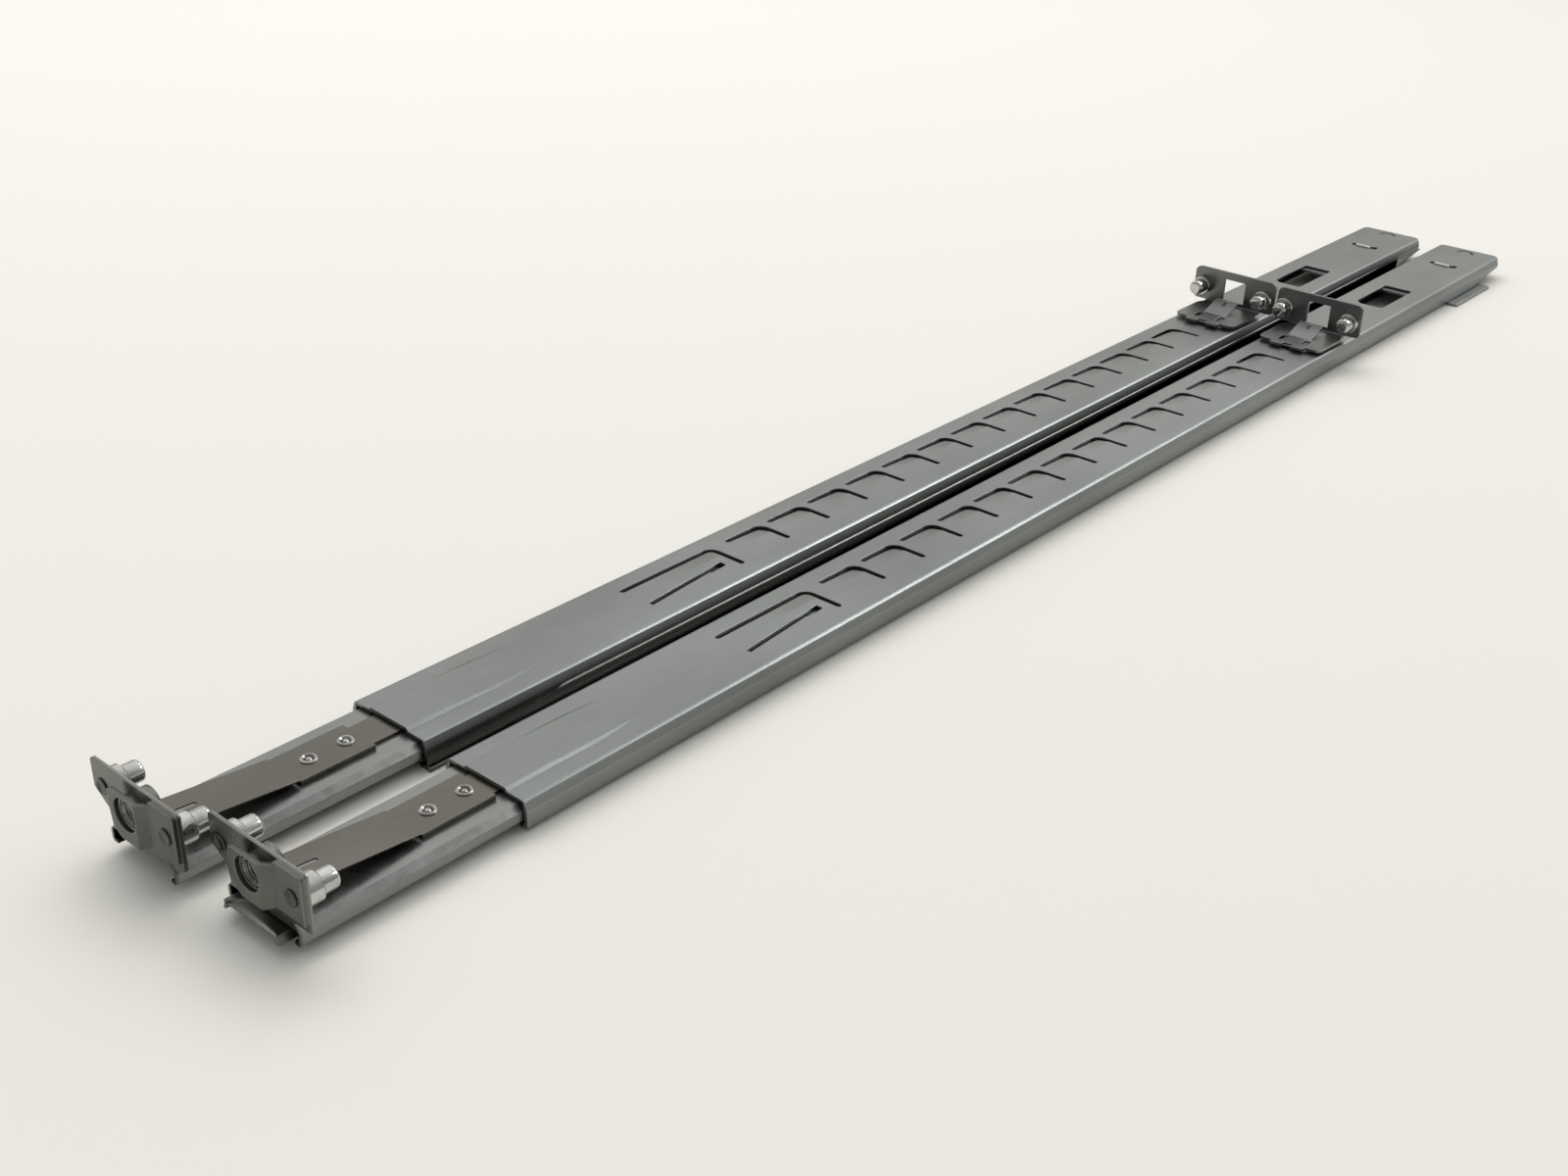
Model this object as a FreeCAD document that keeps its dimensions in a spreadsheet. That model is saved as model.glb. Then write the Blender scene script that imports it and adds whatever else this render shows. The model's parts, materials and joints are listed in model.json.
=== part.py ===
"""Sliding server rail pair: two equal tool-less rack rails lying side by side, outer face up.

Each rail is a slotted outer sleeve with the rear rack bracket, a cabinet member with the front
flange that telescopes out of it to suit the rack's depth, and inside that an intermediate member
that runs forward on caged balls and takes the server's own slide.

A rail is drawn in its own frame: x runs from the front flange to the rear, y across the rail and
z up out of the sleeve's outer face, which is z = 0.  Millimetres.
"""
import FreeCAD, Part
import os
import re
import Sketcher

# ---------------------------------------------------------------- driving dimensions
SIZES = {
    # the pair on its surface
    "rail_pitch": 43.8,
    "left_stagger": 1.1,
    "right_draw": 0.0,
    "left_draw": 7.7,
    # sleeve
    "sleeve_start": 74.2,
    "sleeve_length": 680.8,
    "sleeve_half": 17.0,
    "sleeve_depth": 8.8,
    "sleeve_sheet": 1.2,
    "sleeve_lip": 3.6,
    "shoulder_drop": 3.4,
    "shoulder_step": 1.0,
    "bend_outside": 1.4,
    "band_half": 9.0,
    "band_length": 38.0,
    "band_rise": 0.9,
    "band_wall": 1.0,
    "slot_width": 1.5,
    "slot_first": 228.5,
    "slot_pitch": 22.15,
    "slot_count": 14,
    "slot_long": 18.0,
    "slot_far": 8.5,
    "slot_near": 7.4,
    "slot_bend": 4.6,
    "tongue_start": 177.0,
    "tongue_length": 43.8,
    "tongue_root_y": 6.2,
    "tongue_tip_y": 3.2,
    "window_inset": 123.0,
    "window_length": 35.0,
    "window_half": 7.0,
    "window_chamfer": 3.0,
    "tail_slot_inset": 35.5,
    "tail_slot_length": 5.0,
    "tail_slot_half": 7.9,
    "hook_slot_inset": 14.0,
    "hook_slot_radius": 5.5,
    "tail_taper": 32.0,
    "tail_rise": 4.2,
    "tail_corner": 2.6,
    # rear bracket
    "bracket_x": 578.3,
    "bracket_sheet": 1.2,
    "bracket_foot": 32.3,
    "bracket_foot_half": 13.8,
    "bracket_half": 21.0,
    "bracket_top": 17.9,
    "bracket_wing_low": 3.4,
    "bracket_corner": 1.6,
    "bracket_window_half": 5.4,
    "bracket_window_low": 4.2,
    "bracket_window_top": 14.4,
    "bracket_rivet_x": 552.0,
    "bracket_rivet_half": 10.2,
    "bracket_tab_width": 4.8,
    "bracket_tab_y": 5.2,
    "bracket_tab_height": 2.4,
    # rack pins
    "pin_spacing": 31.75,
    "pin_z": 9.45,
    "pin_dia": 6.6,
    "pin_reach": 12.2,
    "pin_collar_dia": 7.6,
    "pin_collar": 2.2,
    "pin_neck_dia": 5.6,
    "pin_neck": 0.9,
    "pin_shank_dia": 4.6,
    "pin_stub": 1.6,
    # cabinet member and front flange
    "member_gap": 0.3,
    "member_side_gap": 0.5,
    "member_sheet": 1.1,
    "member_end": 523.0,
    "member_web_half": 13.4,
    "member_lip": 2.7,
    "plate_sheet": 1.5,
    "flange_sheet": 1.2,
    "flange_half": 20.2,
    "flange_top": 17.1,
    "flange_low": -0.3,
    "flange_cut_y": 14.2,
    "flange_cut_low": 3.6,
    "flange_cut_top": 7.8,
    "flange_corner": 1.2,
    # thumbscrew plate and nut
    "bridge_rise": 2.1,
    "bridge_left": 7.4,
    "bridge_right": 6.6,
    "bridge_joggle": 2.4,
    "bridge_top": 15.4,
    "bridge_low": -1.2,
    "bridge_corner": 5.0,
    "wing_low": 1.2,
    "screw_z": 8.4,
    "nut_dia": 10.2,
    "nut_face_dia": 8.0,
    "nut_bore_dia": 5.2,
    "nut_length": 6.4,
    "nut_recess": 0.3,
    # latch leaves
    "leaf_sheet": 0.5,
    "leaf_half": 7.7,
    "leaf_end_x": 71.5,
    "leaf_hinge_x": 46.0,
    "leaf_tip_x": 10.0,
    "leaf_tip_rise": 3.6,
    "backing_sheet": 0.9,
    "backing_tail_x": 98.0,
    "backing_tail_half": 6.0,
    "leaf_split": 0.15,
    "leaf_slot_length": 7.0,
    "leaf_slot_width": 1.3,
    "leaf_slot_inset": 1.6,
    "leaf_rivet_x": 54.1,
    "leaf_rivet_pitch": 12.7,
    "rivet_head_dia": 5.2,
    "rivet_shank_dia": 3.2,
    "rivet_head": 0.5,
    "rivet_dimple_dia": 2.4,
    "rivet_dimple": 0.35,
    "rear_leaf_half": 5.8,
    "rear_leaf_root_x": 547.6,
    "rear_leaf_hinge_x": 557.0,
    "rear_leaf_tip_gap": 6.4,
    "rear_leaf_rise": 4.6,
    # balls and cages
    "ball_dia": 3.0,
    "ball_play": 0.05,
    "cage_sheet": 0.4,
    "cage_gap": 0.2,
    "cage_start": 188.0,
    "cage_length": 120.0,
    "cage_pitch": 20.0,
    "cage_count": 6,
    # intermediate member
    "runner_sheet": 1.0,
    "runner_nose": 4.5,
    "runner_length": 500.0,
    "runner_gap": 0.3,
    "runner_depth": 10.0,
    "runner_half": 11.7,
    "runner_lip": 2.3,
    "runner_groove_low": 5.1,
    "inner_ball_dia": 2.2,
    "inner_cage_sheet": 0.5,
    "inner_cage_gap": 0.3,
    "inner_cage_start": 22.0,
    "inner_cage_length": 88.0,
    "inner_cage_pitch": 16.0,
    "inner_cage_count": 5,
    "bumper_length": 8.0,
    # cable-arm bracket
    "arm_inset": 9.0,
    "arm_length": 82.0,
    "arm_half": 12.0,
    "arm_sheet": 1.2,
    "arm_tab_inset": 15.0,
    "arm_tab_length": 41.0,
    "arm_tab_reach": 22.0,
    "arm_lug_half": 5.4,
    "arm_lug_height": 0.7,
}

doc = FreeCAD.newDocument("ServerRailPair")
sheet = doc.addObject("Spreadsheet::Sheet", "Sizes")
for row, (alias, number) in enumerate(SIZES.items(), start=1):
    sheet.set(f"A{row}", alias)
    sheet.set(f"B{row}", str(number))
    sheet.setAlias(f"B{row}", alias)
doc.recompute()


def cells(text):
    """The expression with each bare size name turned into its cell of the sheet."""
    return re.sub(r"[a-z][a-z_0-9]*", lambda word: "Sizes." + word.group()
                  if word.group() in SIZES else word.group(), str(text))


def number(text):
    """What the expression comes to with the sheet's present values."""
    return float(sheet.evalExpression(cells(text)))


# ---------------------------------------------------------------- derived places, as expressions
WEB_UNDER = "-sleeve_sheet"
MEMBER_TOP = f"({WEB_UNDER} - member_gap)"
MEMBER_UNDER = f"({MEMBER_TOP} - member_sheet)"
MEMBER_LOW = "(-(sleeve_depth - sleeve_sheet - member_gap))"
MEMBER_HALF = "(sleeve_half - sleeve_sheet - member_side_gap)"
FLANGE_BACK = "(plate_sheet + flange_sheet)"
BALL_Z = f"(({MEMBER_UNDER} + {MEMBER_LOW} + member_sheet) / 2)"
BALL_Y = f"({MEMBER_HALF} - member_sheet - ball_play - ball_dia / 2)"
CAGE_TOP = f"({MEMBER_UNDER} - cage_gap)"
RUNNER_TOP = f"({CAGE_TOP} - cage_sheet - runner_gap)"
RUNNER_UNDER = f"({RUNNER_TOP} - runner_sheet)"
GROOVE_Y = f"({BALL_Y} - ball_dia / 2 - ball_play)"
RUNNER_FLOOR = "(-runner_depth + runner_sheet)"
INNER_CAGE_TOP = f"({RUNNER_UNDER} - inner_cage_gap)"
INNER_BALL_Y = "(runner_half - runner_sheet - ball_play - inner_ball_dia / 2)"
INNER_BALL_Z = f"({RUNNER_FLOOR} + ball_play * 4 + inner_ball_dia / 2)"
SLEEVE_END = "(sleeve_start + sleeve_length)"
WINDOW_X = f"({SLEEVE_END} - window_inset)"
TAIL_SLOT_X = f"({SLEEVE_END} - tail_slot_inset)"
HOOK_X = f"({SLEEVE_END} - hook_slot_inset)"
ARM_END = f"({SLEEVE_END} - arm_inset)"
ARM_TAB_END = f"({ARM_END} - arm_tab_inset)"
REAR_PLATE_FRONT = "(bracket_x - bracket_sheet)"
LEAF_SEAT = f"({MEMBER_TOP} + backing_sheet)"
REAR_LEAF_TIP_X = f"({REAR_PLATE_FRONT} - rear_leaf_tip_gap)"


# ---------------------------------------------------------------- drawing helpers
def new_body(label):
    body = doc.addObject("PartDesign::Body", label)
    body.Label = label
    body.AllowCompound = True
    return body


def origin_feature(body, role):
    return next(item for item in body.Origin.OriginFeatures if item.Role == role)


def new_sketch(body, plane, offset="0"):
    """A sketch on one of the body's own origin planes, moved along its normal."""
    sketch = body.newObject("Sketcher::SketchObject", body.Name + "Sketch")
    sketch.AttachmentSupport = (origin_feature(body, plane + "_Plane"), [""])
    sketch.MapMode = "FlatFace"
    sketch.AttachmentOffset = FreeCAD.Placement(FreeCAD.Vector(0, 0, number(offset)), FreeCAD.Rotation())
    sketch.setExpression("AttachmentOffset.Base.z", cells(offset))
    return sketch


def bind_point(sketch, geometry, end, across, up):
    """Hold a point of the sketch at two expressions, measured from the origin."""
    index = sketch.addConstraint(Sketcher.Constraint("DistanceX", -1, 1, geometry, end, number(across)))
    sketch.setExpression(f"Constraints[{index}]", cells(across))
    index = sketch.addConstraint(Sketcher.Constraint("DistanceY", -1, 1, geometry, end, number(up)))
    sketch.setExpression(f"Constraints[{index}]", cells(up))


def draw_outline(sketch, corners):
    """A closed outline.  A corner is (across, up), or (across, up, radius, turn) where the edge that
    leaves it is an arc: turn is 1 for an arc to the left of its chord's direction and -1 to the right."""
    first = sketch.GeometryCount
    spots = [FreeCAD.Vector(number(corner[0]), number(corner[1]), 0) for corner in corners]
    for index, corner in enumerate(corners):
        start = spots[index]
        end = spots[(index + 1) % len(spots)]
        if len(corner) == 2:
            sketch.addGeometry(Part.LineSegment(start, end), False)
            continue
        radius = number(corner[2])
        chord = end - start
        side = FreeCAD.Vector(-chord.y, chord.x, 0).normalize() * corner[3]
        rise = radius - (radius ** 2 - (chord.Length / 2) ** 2) ** 0.5
        crown = start + chord * 0.5 + side * rise
        sketch.addGeometry(Part.Arc(start, crown, end), False)
    ends = []
    for index, corner in enumerate(corners):
        turned = len(corner) == 4 and corner[3] == 1
        ends.append((2, 1) if turned else (1, 2))
    for index in range(len(corners)):
        after = (index + 1) % len(corners)
        sketch.addConstraint(Sketcher.Constraint(
            "Coincident", first + index, ends[index][1], first + after, ends[after][0]))
    for index, corner in enumerate(corners):
        bind_point(sketch, first + index, ends[index][0], corner[0], corner[1])
        if len(corner) == 4:
            held = sketch.addConstraint(Sketcher.Constraint("Radius", first + index, number(corner[2])))
            sketch.setExpression(f"Constraints[{held}]", cells(corner[2]))


def draw_circle(sketch, across, up, diameter):
    centre = FreeCAD.Vector(number(across), number(up), 0)
    circle = Part.Circle(centre, FreeCAD.Vector(0, 0, 1), number(diameter) / 2)
    index = sketch.addGeometry(circle, False)
    bind_point(sketch, index, 3, across, up)
    held = sketch.addConstraint(Sketcher.Constraint("Diameter", index, number(diameter)))
    sketch.setExpression(f"Constraints[{held}]", cells(diameter))


def rectangle(left, right, low, high):
    return [(left, low), (right, low), (right, high), (left, high)]


def both_sides(half):
    """A section's right half, listed from the middle outward, closed with its mirror image."""
    return half + [(f"-({corner[0]})", corner[1]) for corner in reversed(half)]


def extrude(body, kind, sketch, length, reverse=False):
    """A Pad along the sketch's normal, or a Pocket against it; reverse turns either round."""
    feature = body.newObject("PartDesign::" + kind, body.Name + kind)
    feature.Profile = sketch
    feature.Reversed = reverse
    feature.setExpression("Length", cells(length))
    return feature


def pad(body, plane, offset, outline, length, holes=()):
    sketch = new_sketch(body, plane, offset)
    draw_outline(sketch, outline)
    for hole in holes:
        draw_circle(sketch, *hole)
    return extrude(body, "Pad", sketch, length)


def pocket(body, plane, offset, outlines, length, circles=(), reverse=False):
    """Cut from the offset by the length, against the plane's normal or, reversed, along it."""
    sketch = new_sketch(body, plane, offset)
    for outline in outlines:
        draw_outline(sketch, outline)
    for circle in circles:
        draw_circle(sketch, *circle)
    doc.recompute()
    before = body.Shape.Volume
    feature = extrude(body, "Pocket", sketch, length, reverse)
    doc.recompute()
    if body.Shape.Volume >= before:
        raise RuntimeError(f"{body.Label}: {feature.Name} cuts nothing")
    return feature


def repeat(body, features, count, pitch, axis="X_Axis"):
    """Copies of the features along one of the body's axes."""
    pattern = body.newObject("PartDesign::LinearPattern", body.Name + "Repeat")
    pattern.Originals = features
    pattern.Direction = (origin_feature(body, axis), [""])
    pattern.setExpression("Length", cells(f"({pitch}) * ({count} - 1)"))
    pattern.setExpression("Occurrences", cells(count))
    body.Tip = pattern
    return pattern


def round_edges(body, radius, lines):
    """Round the straight edges that run along one axis through the given two coordinates."""
    doc.recompute()
    base = body.Tip
    names = []
    for axis, first, second in lines:
        spot = (number(first), number(second))
        others = [index for index in range(3) if index != "xyz".index(axis)]
        for index, edge in enumerate(base.Shape.Edges, start=1):
            points = [vertex.Point for vertex in edge.Vertexes]
            if len(points) == 2 and all(abs(point[others[side]] - spot[side]) < 1e-4
                                        for point in points for side in (0, 1)):
                names.append(f"Edge{index}")
    feature = body.newObject("PartDesign::Fillet", body.Name + "Fillet")
    feature.Base = (base, names)
    feature.setExpression("Radius", cells(radius))
    body.Tip = feature
    return feature


def revolve(body, outline, plane="XY", offset="0", axis="H_Axis"):
    """A full turn of the outline about the sketch's own axis."""
    sketch = new_sketch(body, plane, offset)
    draw_outline(sketch, outline)
    feature = body.newObject("PartDesign::Revolution", body.Name + "Turn")
    feature.Profile = sketch
    feature.ReferenceAxis = (sketch, [axis])
    feature.Angle = 360
    body.Tip = feature
    return feature


def ball_rows(body, diameter, start, across, up, count, pitch):
    """Two rows of balls, one at each side of the rail."""
    rows = []
    for side in ("-", ""):
        ball = body.newObject("PartDesign::AdditiveSphere", body.Name + "Ball")
        ball.setExpression("Radius", cells(f"{diameter} / 2"))
        ball.setExpression("Placement.Base.x", cells(start))
        ball.setExpression("Placement.Base.y", cells(f"{side}({across})"))
        ball.setExpression("Placement.Base.z", cells(up))
        rows.append(ball)
    repeat(body, rows, count, pitch)


# ---------------------------------------------------------------- the rail's pieces
def l_slot(start, length, near, far):
    """An L-shaped cut: a leg along the rail at y = far that turns and crosses it to y = -near."""
    outer = "slot_bend"
    inner = "(slot_bend - slot_width)"
    end = f"({start} + {length})"
    cap = "slot_width * 0.52"
    return [
        (f"{end} - slot_width", f"-({near})", cap, -1),
        (end, f"-({near})"),
        (end, f"{far} - {outer}", outer, -1),
        (f"{end} - {outer}", far),
        (start, far, cap, 1),
        (start, f"{far} - slot_width"),
        (f"{end} - {outer}", f"{far} - slot_width", inner, 1),
        (f"{end} - slot_width", f"{far} - {outer}"),
    ]


def make_sleeve(label):
    body = new_body(label)
    half = [
        ("sleeve_half - shoulder_step", "0"),
        ("sleeve_half", "-shoulder_drop"),
        ("sleeve_half", "-sleeve_depth"),
        ("sleeve_half - sleeve_lip", "-sleeve_depth"),
        ("sleeve_half - sleeve_lip", "-sleeve_depth + sleeve_sheet"),
        ("sleeve_half - sleeve_sheet", "-sleeve_depth + sleeve_sheet"),
        ("sleeve_half - sleeve_sheet", "-shoulder_drop"),
        ("sleeve_half - shoulder_step - sleeve_sheet", WEB_UNDER),
    ]
    pad(body, "YZ", "sleeve_start", both_sides(half), "sleeve_length")
    outside = [("x", f"{side}(sleeve_half - shoulder_step)", "0") for side in ("", "-")]
    outside += [("x", f"{side}sleeve_half", "-sleeve_depth") for side in ("", "-")]
    round_edges(body, "bend_outside", outside)
    band = [
        ("band_half", WEB_UNDER),
        ("band_half", "0"),
        ("band_half - band_wall", "band_rise"),
    ]
    pad(body, "YZ", "sleeve_start", both_sides(band), "band_length")
    channel = rectangle("sleeve_start", "sleeve_start + band_length - sleeve_sheet",
                        "-band_half + sleeve_sheet", "band_half - sleeve_sheet")
    pocket(body, "XY", "band_rise - sleeve_sheet", [channel], "sleeve_depth")
    tongue_end = "(tongue_start + tongue_length)"
    tongue = [
        ("tongue_start", "-tongue_root_y"),
        (f"{tongue_end} - slot_width * 4", "-tongue_tip_y"),
        (f"{tongue_end} - slot_width * 4", "-tongue_tip_y + slot_width"),
        ("tongue_start", "-tongue_root_y + slot_width"),
    ]
    window = [
        (WINDOW_X, "-window_half"),
        (f"{WINDOW_X} + window_length", "-window_half"),
        (f"{WINDOW_X} + window_length", "window_half"),
        (f"{WINDOW_X} + window_chamfer", "window_half"),
        (WINDOW_X, "window_half - window_chamfer"),
    ]
    tail_slot = rectangle(TAIL_SLOT_X, f"{TAIL_SLOT_X} + tail_slot_length",
                          "-tail_slot_half", "tail_slot_half")
    hook_in = "(hook_slot_radius - slot_width)"
    hook_slot = [
        (HOOK_X, "hook_slot_radius", "hook_slot_radius", 1),
        (f"{HOOK_X} - hook_slot_radius", "0", "hook_slot_radius", 1),
        (HOOK_X, "-hook_slot_radius"),
        (HOOK_X, f"-{hook_in}", hook_in, -1),
        (f"{HOOK_X} - {hook_in}", "0", hook_in, -1),
        (HOOK_X, hook_in),
    ]
    long_slot = l_slot("tongue_start", "tongue_length", "slot_near", "slot_far")
    rivets = [("bracket_rivet_x", f"{side}bracket_rivet_half", "rivet_shank_dia") for side in ("", "-")]
    pocket(body, "XY", "band_rise", [long_slot, tongue, window, tail_slot, hook_slot],
           "band_rise + sleeve_sheet * 2", rivets)
    first = pocket(body, "XY", "band_rise", [l_slot("slot_first", "slot_long", "slot_near", "slot_far")],
                   "band_rise + sleeve_sheet * 2")
    repeat(body, [first], "slot_count", "slot_pitch")
    taper = [
        (f"{SLEEVE_END} - tail_taper", "-sleeve_depth - sleeve_sheet"),
        (f"{SLEEVE_END} + sleeve_sheet", "-sleeve_depth - sleeve_sheet"),
        (f"{SLEEVE_END} + sleeve_sheet", "-sleeve_depth + tail_rise"),
        (SLEEVE_END, "-sleeve_depth + tail_rise"),
        (f"{SLEEVE_END} - tail_taper", "-sleeve_depth"),
    ]
    pocket(body, "XZ", "-sleeve_half * 2", [taper], "sleeve_half * 4", reverse=True)
    corners = []
    for side in ("", "-"):
        corners.append([
            (f"{SLEEVE_END} - tail_corner", f"{side}sleeve_half"),
            (f"{SLEEVE_END} + sleeve_sheet", f"{side}sleeve_half"),
            (f"{SLEEVE_END} + sleeve_sheet", f"{side}(sleeve_half - shoulder_step - tail_corner)"),
            (SLEEVE_END, f"{side}(sleeve_half - shoulder_step - tail_corner)"),
        ])
    pocket(body, "XY", "sleeve_sheet", corners, "sleeve_depth * 2")
    return body


def make_rear_bracket(label):
    """The angle that carries the rear rack pins, riveted on the sleeve."""
    body = new_body(label)
    foot_front = "(bracket_x - bracket_foot)"
    foot = rectangle(foot_front, "bracket_x", "-bracket_foot_half", "bracket_foot_half")
    pad(body, "XY", "0", foot, "bracket_sheet")
    half = [
        ("bracket_foot_half", "0"),
        ("bracket_foot_half", "bracket_wing_low - bracket_sheet"),
        ("bracket_half - bracket_sheet", "bracket_wing_low - bracket_sheet"),
        ("bracket_half", "bracket_wing_low"),
        ("bracket_half", "bracket_top"),
    ]
    holes = [(f"{side}pin_spacing / 2", "pin_z", "pin_shank_dia") for side in ("", "-")]
    pad(body, "YZ", REAR_PLATE_FRONT, both_sides(half), "bracket_sheet", holes)
    window = rectangle("-bracket_window_half", "bracket_window_half",
                       "bracket_window_low", "bracket_window_top")
    pocket(body, "YZ", "bracket_x + bracket_sheet", [window], "bracket_sheet * 3")
    for side in ("-", ""):
        tab = rectangle(f"{side}bracket_tab_y - bracket_tab_width / 2",
                        f"{side}bracket_tab_y + bracket_tab_width / 2", "0",
                        "bracket_sheet + bracket_tab_height")
        pad(body, "YZ", f"{foot_front} - bracket_sheet", tab, "bracket_sheet")
    rivets = [("bracket_rivet_x", f"{side}bracket_rivet_half", "rivet_shank_dia") for side in ("", "-")]
    pocket(body, "XY", "bracket_sheet * 1.5", [], "bracket_sheet * 2", rivets)
    corners = [("x", f"{side}bracket_half", "bracket_top") for side in ("", "-")]
    round_edges(body, "bracket_corner", corners)
    round_edges(body, "bracket_sheet", [("y", "bracket_x", "0")])
    return body


def make_pins(label, face, back):
    """Two stepped pins; they stand on the plate's face, and their shanks are riveted over behind it.

    face and back are the plate's two faces: the pin stands off towards the face's side."""
    body = new_body(label)
    way = "" if number(face) > number(back) else "-"
    base = f"({face})"
    outline = [
        (f"{back} - ({way}pin_stub)", "0"),
        (f"{back} - ({way}pin_stub)", "pin_shank_dia / 2"),
        (base, "pin_shank_dia / 2"),
        (base, "pin_collar_dia / 2"),
        (f"{base} + ({way}pin_collar)", "pin_collar_dia / 2"),
        (f"{base} + ({way}pin_collar)", "pin_neck_dia / 2"),
        (f"{base} + ({way}(pin_collar + pin_neck))", "pin_neck_dia / 2"),
        (f"{base} + ({way}(pin_collar + pin_neck))", "pin_dia / 2"),
        (f"{base} + ({way}(pin_reach - pin_dia / 8))", "pin_dia / 2"),
        (f"{base} + ({way}pin_reach)", "pin_dia * 3 / 8"),
        (f"{base} + ({way}pin_reach)", "0"),
    ]
    turned = revolve(body, outline)
    repeat(body, [turned], "2", "pin_spacing", "Y_Axis")
    return body


def make_cabinet_member(label):
    """The ball channel whose own front end is bent up into the rack flange."""
    body = new_body(label)
    half = [
        ("member_web_half", MEMBER_TOP),
        (MEMBER_HALF, f"{MEMBER_TOP} - member_sheet * 1.8"),
        (MEMBER_HALF, f"{MEMBER_LOW} + member_sheet * 0.8"),
        (f"{MEMBER_HALF} - member_sheet * 0.8", MEMBER_LOW),
        (f"{MEMBER_HALF} - member_lip", MEMBER_LOW),
        (f"{MEMBER_HALF} - member_lip", f"{MEMBER_LOW} + member_sheet"),
        (f"{MEMBER_HALF} - member_sheet", f"{MEMBER_LOW} + member_sheet"),
        (f"{MEMBER_HALF} - member_sheet", MEMBER_UNDER),
    ]
    pad(body, "YZ", "plate_sheet", both_sides(half), "member_end - plate_sheet")
    flange = [
        ("-flange_half", "flange_low"),
        ("-member_web_half", "flange_low"),
        ("-member_web_half", MEMBER_UNDER),
        ("member_web_half", MEMBER_UNDER),
        ("flange_cut_y", "flange_cut_low"),
        ("flange_half", "flange_cut_top"),
        ("flange_half", "flange_top"),
        ("-flange_half", "flange_top"),
    ]
    holes = [(f"{side}pin_spacing / 2", "pin_z", "pin_shank_dia") for side in ("", "-")]
    holes.append(("0", "screw_z", "nut_dia"))
    pad(body, "YZ", "plate_sheet", flange, "flange_sheet", holes)
    rivets = [(f"leaf_rivet_x + {step} * leaf_rivet_pitch", "0", "rivet_shank_dia") for step in (0, 1)]
    pocket(body, "XY", "0", [], f"-{MEMBER_UNDER} + member_sheet", rivets)
    corners = [("x", f"{side}flange_half", "flange_top") for side in ("", "-")]
    round_edges(body, "flange_corner", corners)
    return body


def make_thumbscrew_plate(label):
    """The plate on the flange's front that steps forward over the captive nut."""
    body = new_body(label)
    wing = [
        ("-flange_half", "wing_low"),
        ("-bridge_right - bridge_joggle + plate_sheet", "wing_low"),
        ("-bridge_right - bridge_joggle + plate_sheet", "flange_top"),
        ("-flange_half", "flange_top"),
    ]
    pad(body, "YZ", "0", wing, "plate_sheet", [("-pin_spacing / 2", "pin_z", "pin_shank_dia")])
    joggle = [
        ("0", "-bridge_right - bridge_joggle"),
        ("-bridge_rise", "-bridge_right"),
        ("-bridge_rise", "bridge_left"),
        ("-bridge_rise + plate_sheet", "bridge_left"),
        ("-bridge_rise + plate_sheet", "-bridge_right"),
        ("plate_sheet", "-bridge_right - bridge_joggle"),
    ]
    pad(body, "XY", "wing_low", joggle, "bridge_top - wing_low")
    lobe = [
        ("-bridge_right + bridge_corner", "bridge_low"),
        ("bridge_left - bridge_corner", "bridge_low"),
        ("bridge_left", "bridge_low + bridge_corner"),
        ("bridge_left", "bridge_top"),
        ("-bridge_right", "bridge_top"),
        ("-bridge_right", "wing_low"),
    ]
    pad(body, "YZ", "-bridge_rise", lobe, "plate_sheet")
    pocket(body, "YZ", "plate_sheet", [], "plate_sheet + bridge_rise * 2", [("0", "screw_z", "nut_dia")])
    round_edges(body, "flange_corner", [("x", "-flange_half", "flange_top")])
    return body


def make_nut(label):
    """The bush that the server's thumbscrew turns into."""
    body = new_body(label)
    face = "(-bridge_rise + nut_recess)"
    outline = [
        (face, "nut_face_dia / 2"),
        (face, "nut_dia / 2"),
        (f"{face} + nut_length", "nut_dia / 2"),
        (f"{face} + nut_length", "nut_bore_dia / 2"),
        (f"{face} + (nut_face_dia - nut_bore_dia) / 2", "nut_bore_dia / 2"),
    ]
    revolve(body, outline)
    return body


def make_strip(label, ends, half, slot=None):
    """A flat spring strip drawn in side view between its two ends; slot is (start, end) along x."""
    body = new_body(label)
    (start, start_z), (end, end_z) = ends
    side_view = [
        (start, start_z),
        (end, end_z),
        (end, f"{end_z} + leaf_sheet"),
        (start, f"{start_z} + leaf_sheet"),
    ]
    pad(body, "XZ", f"-({half})", side_view, f"({half}) * 2")
    if slot:
        cut = rectangle(slot[0], slot[1], "-leaf_slot_width / 2", "leaf_slot_width / 2")
        pocket(body, "XY", "bracket_top", [cut], "bracket_top * 2")
    return body


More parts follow.
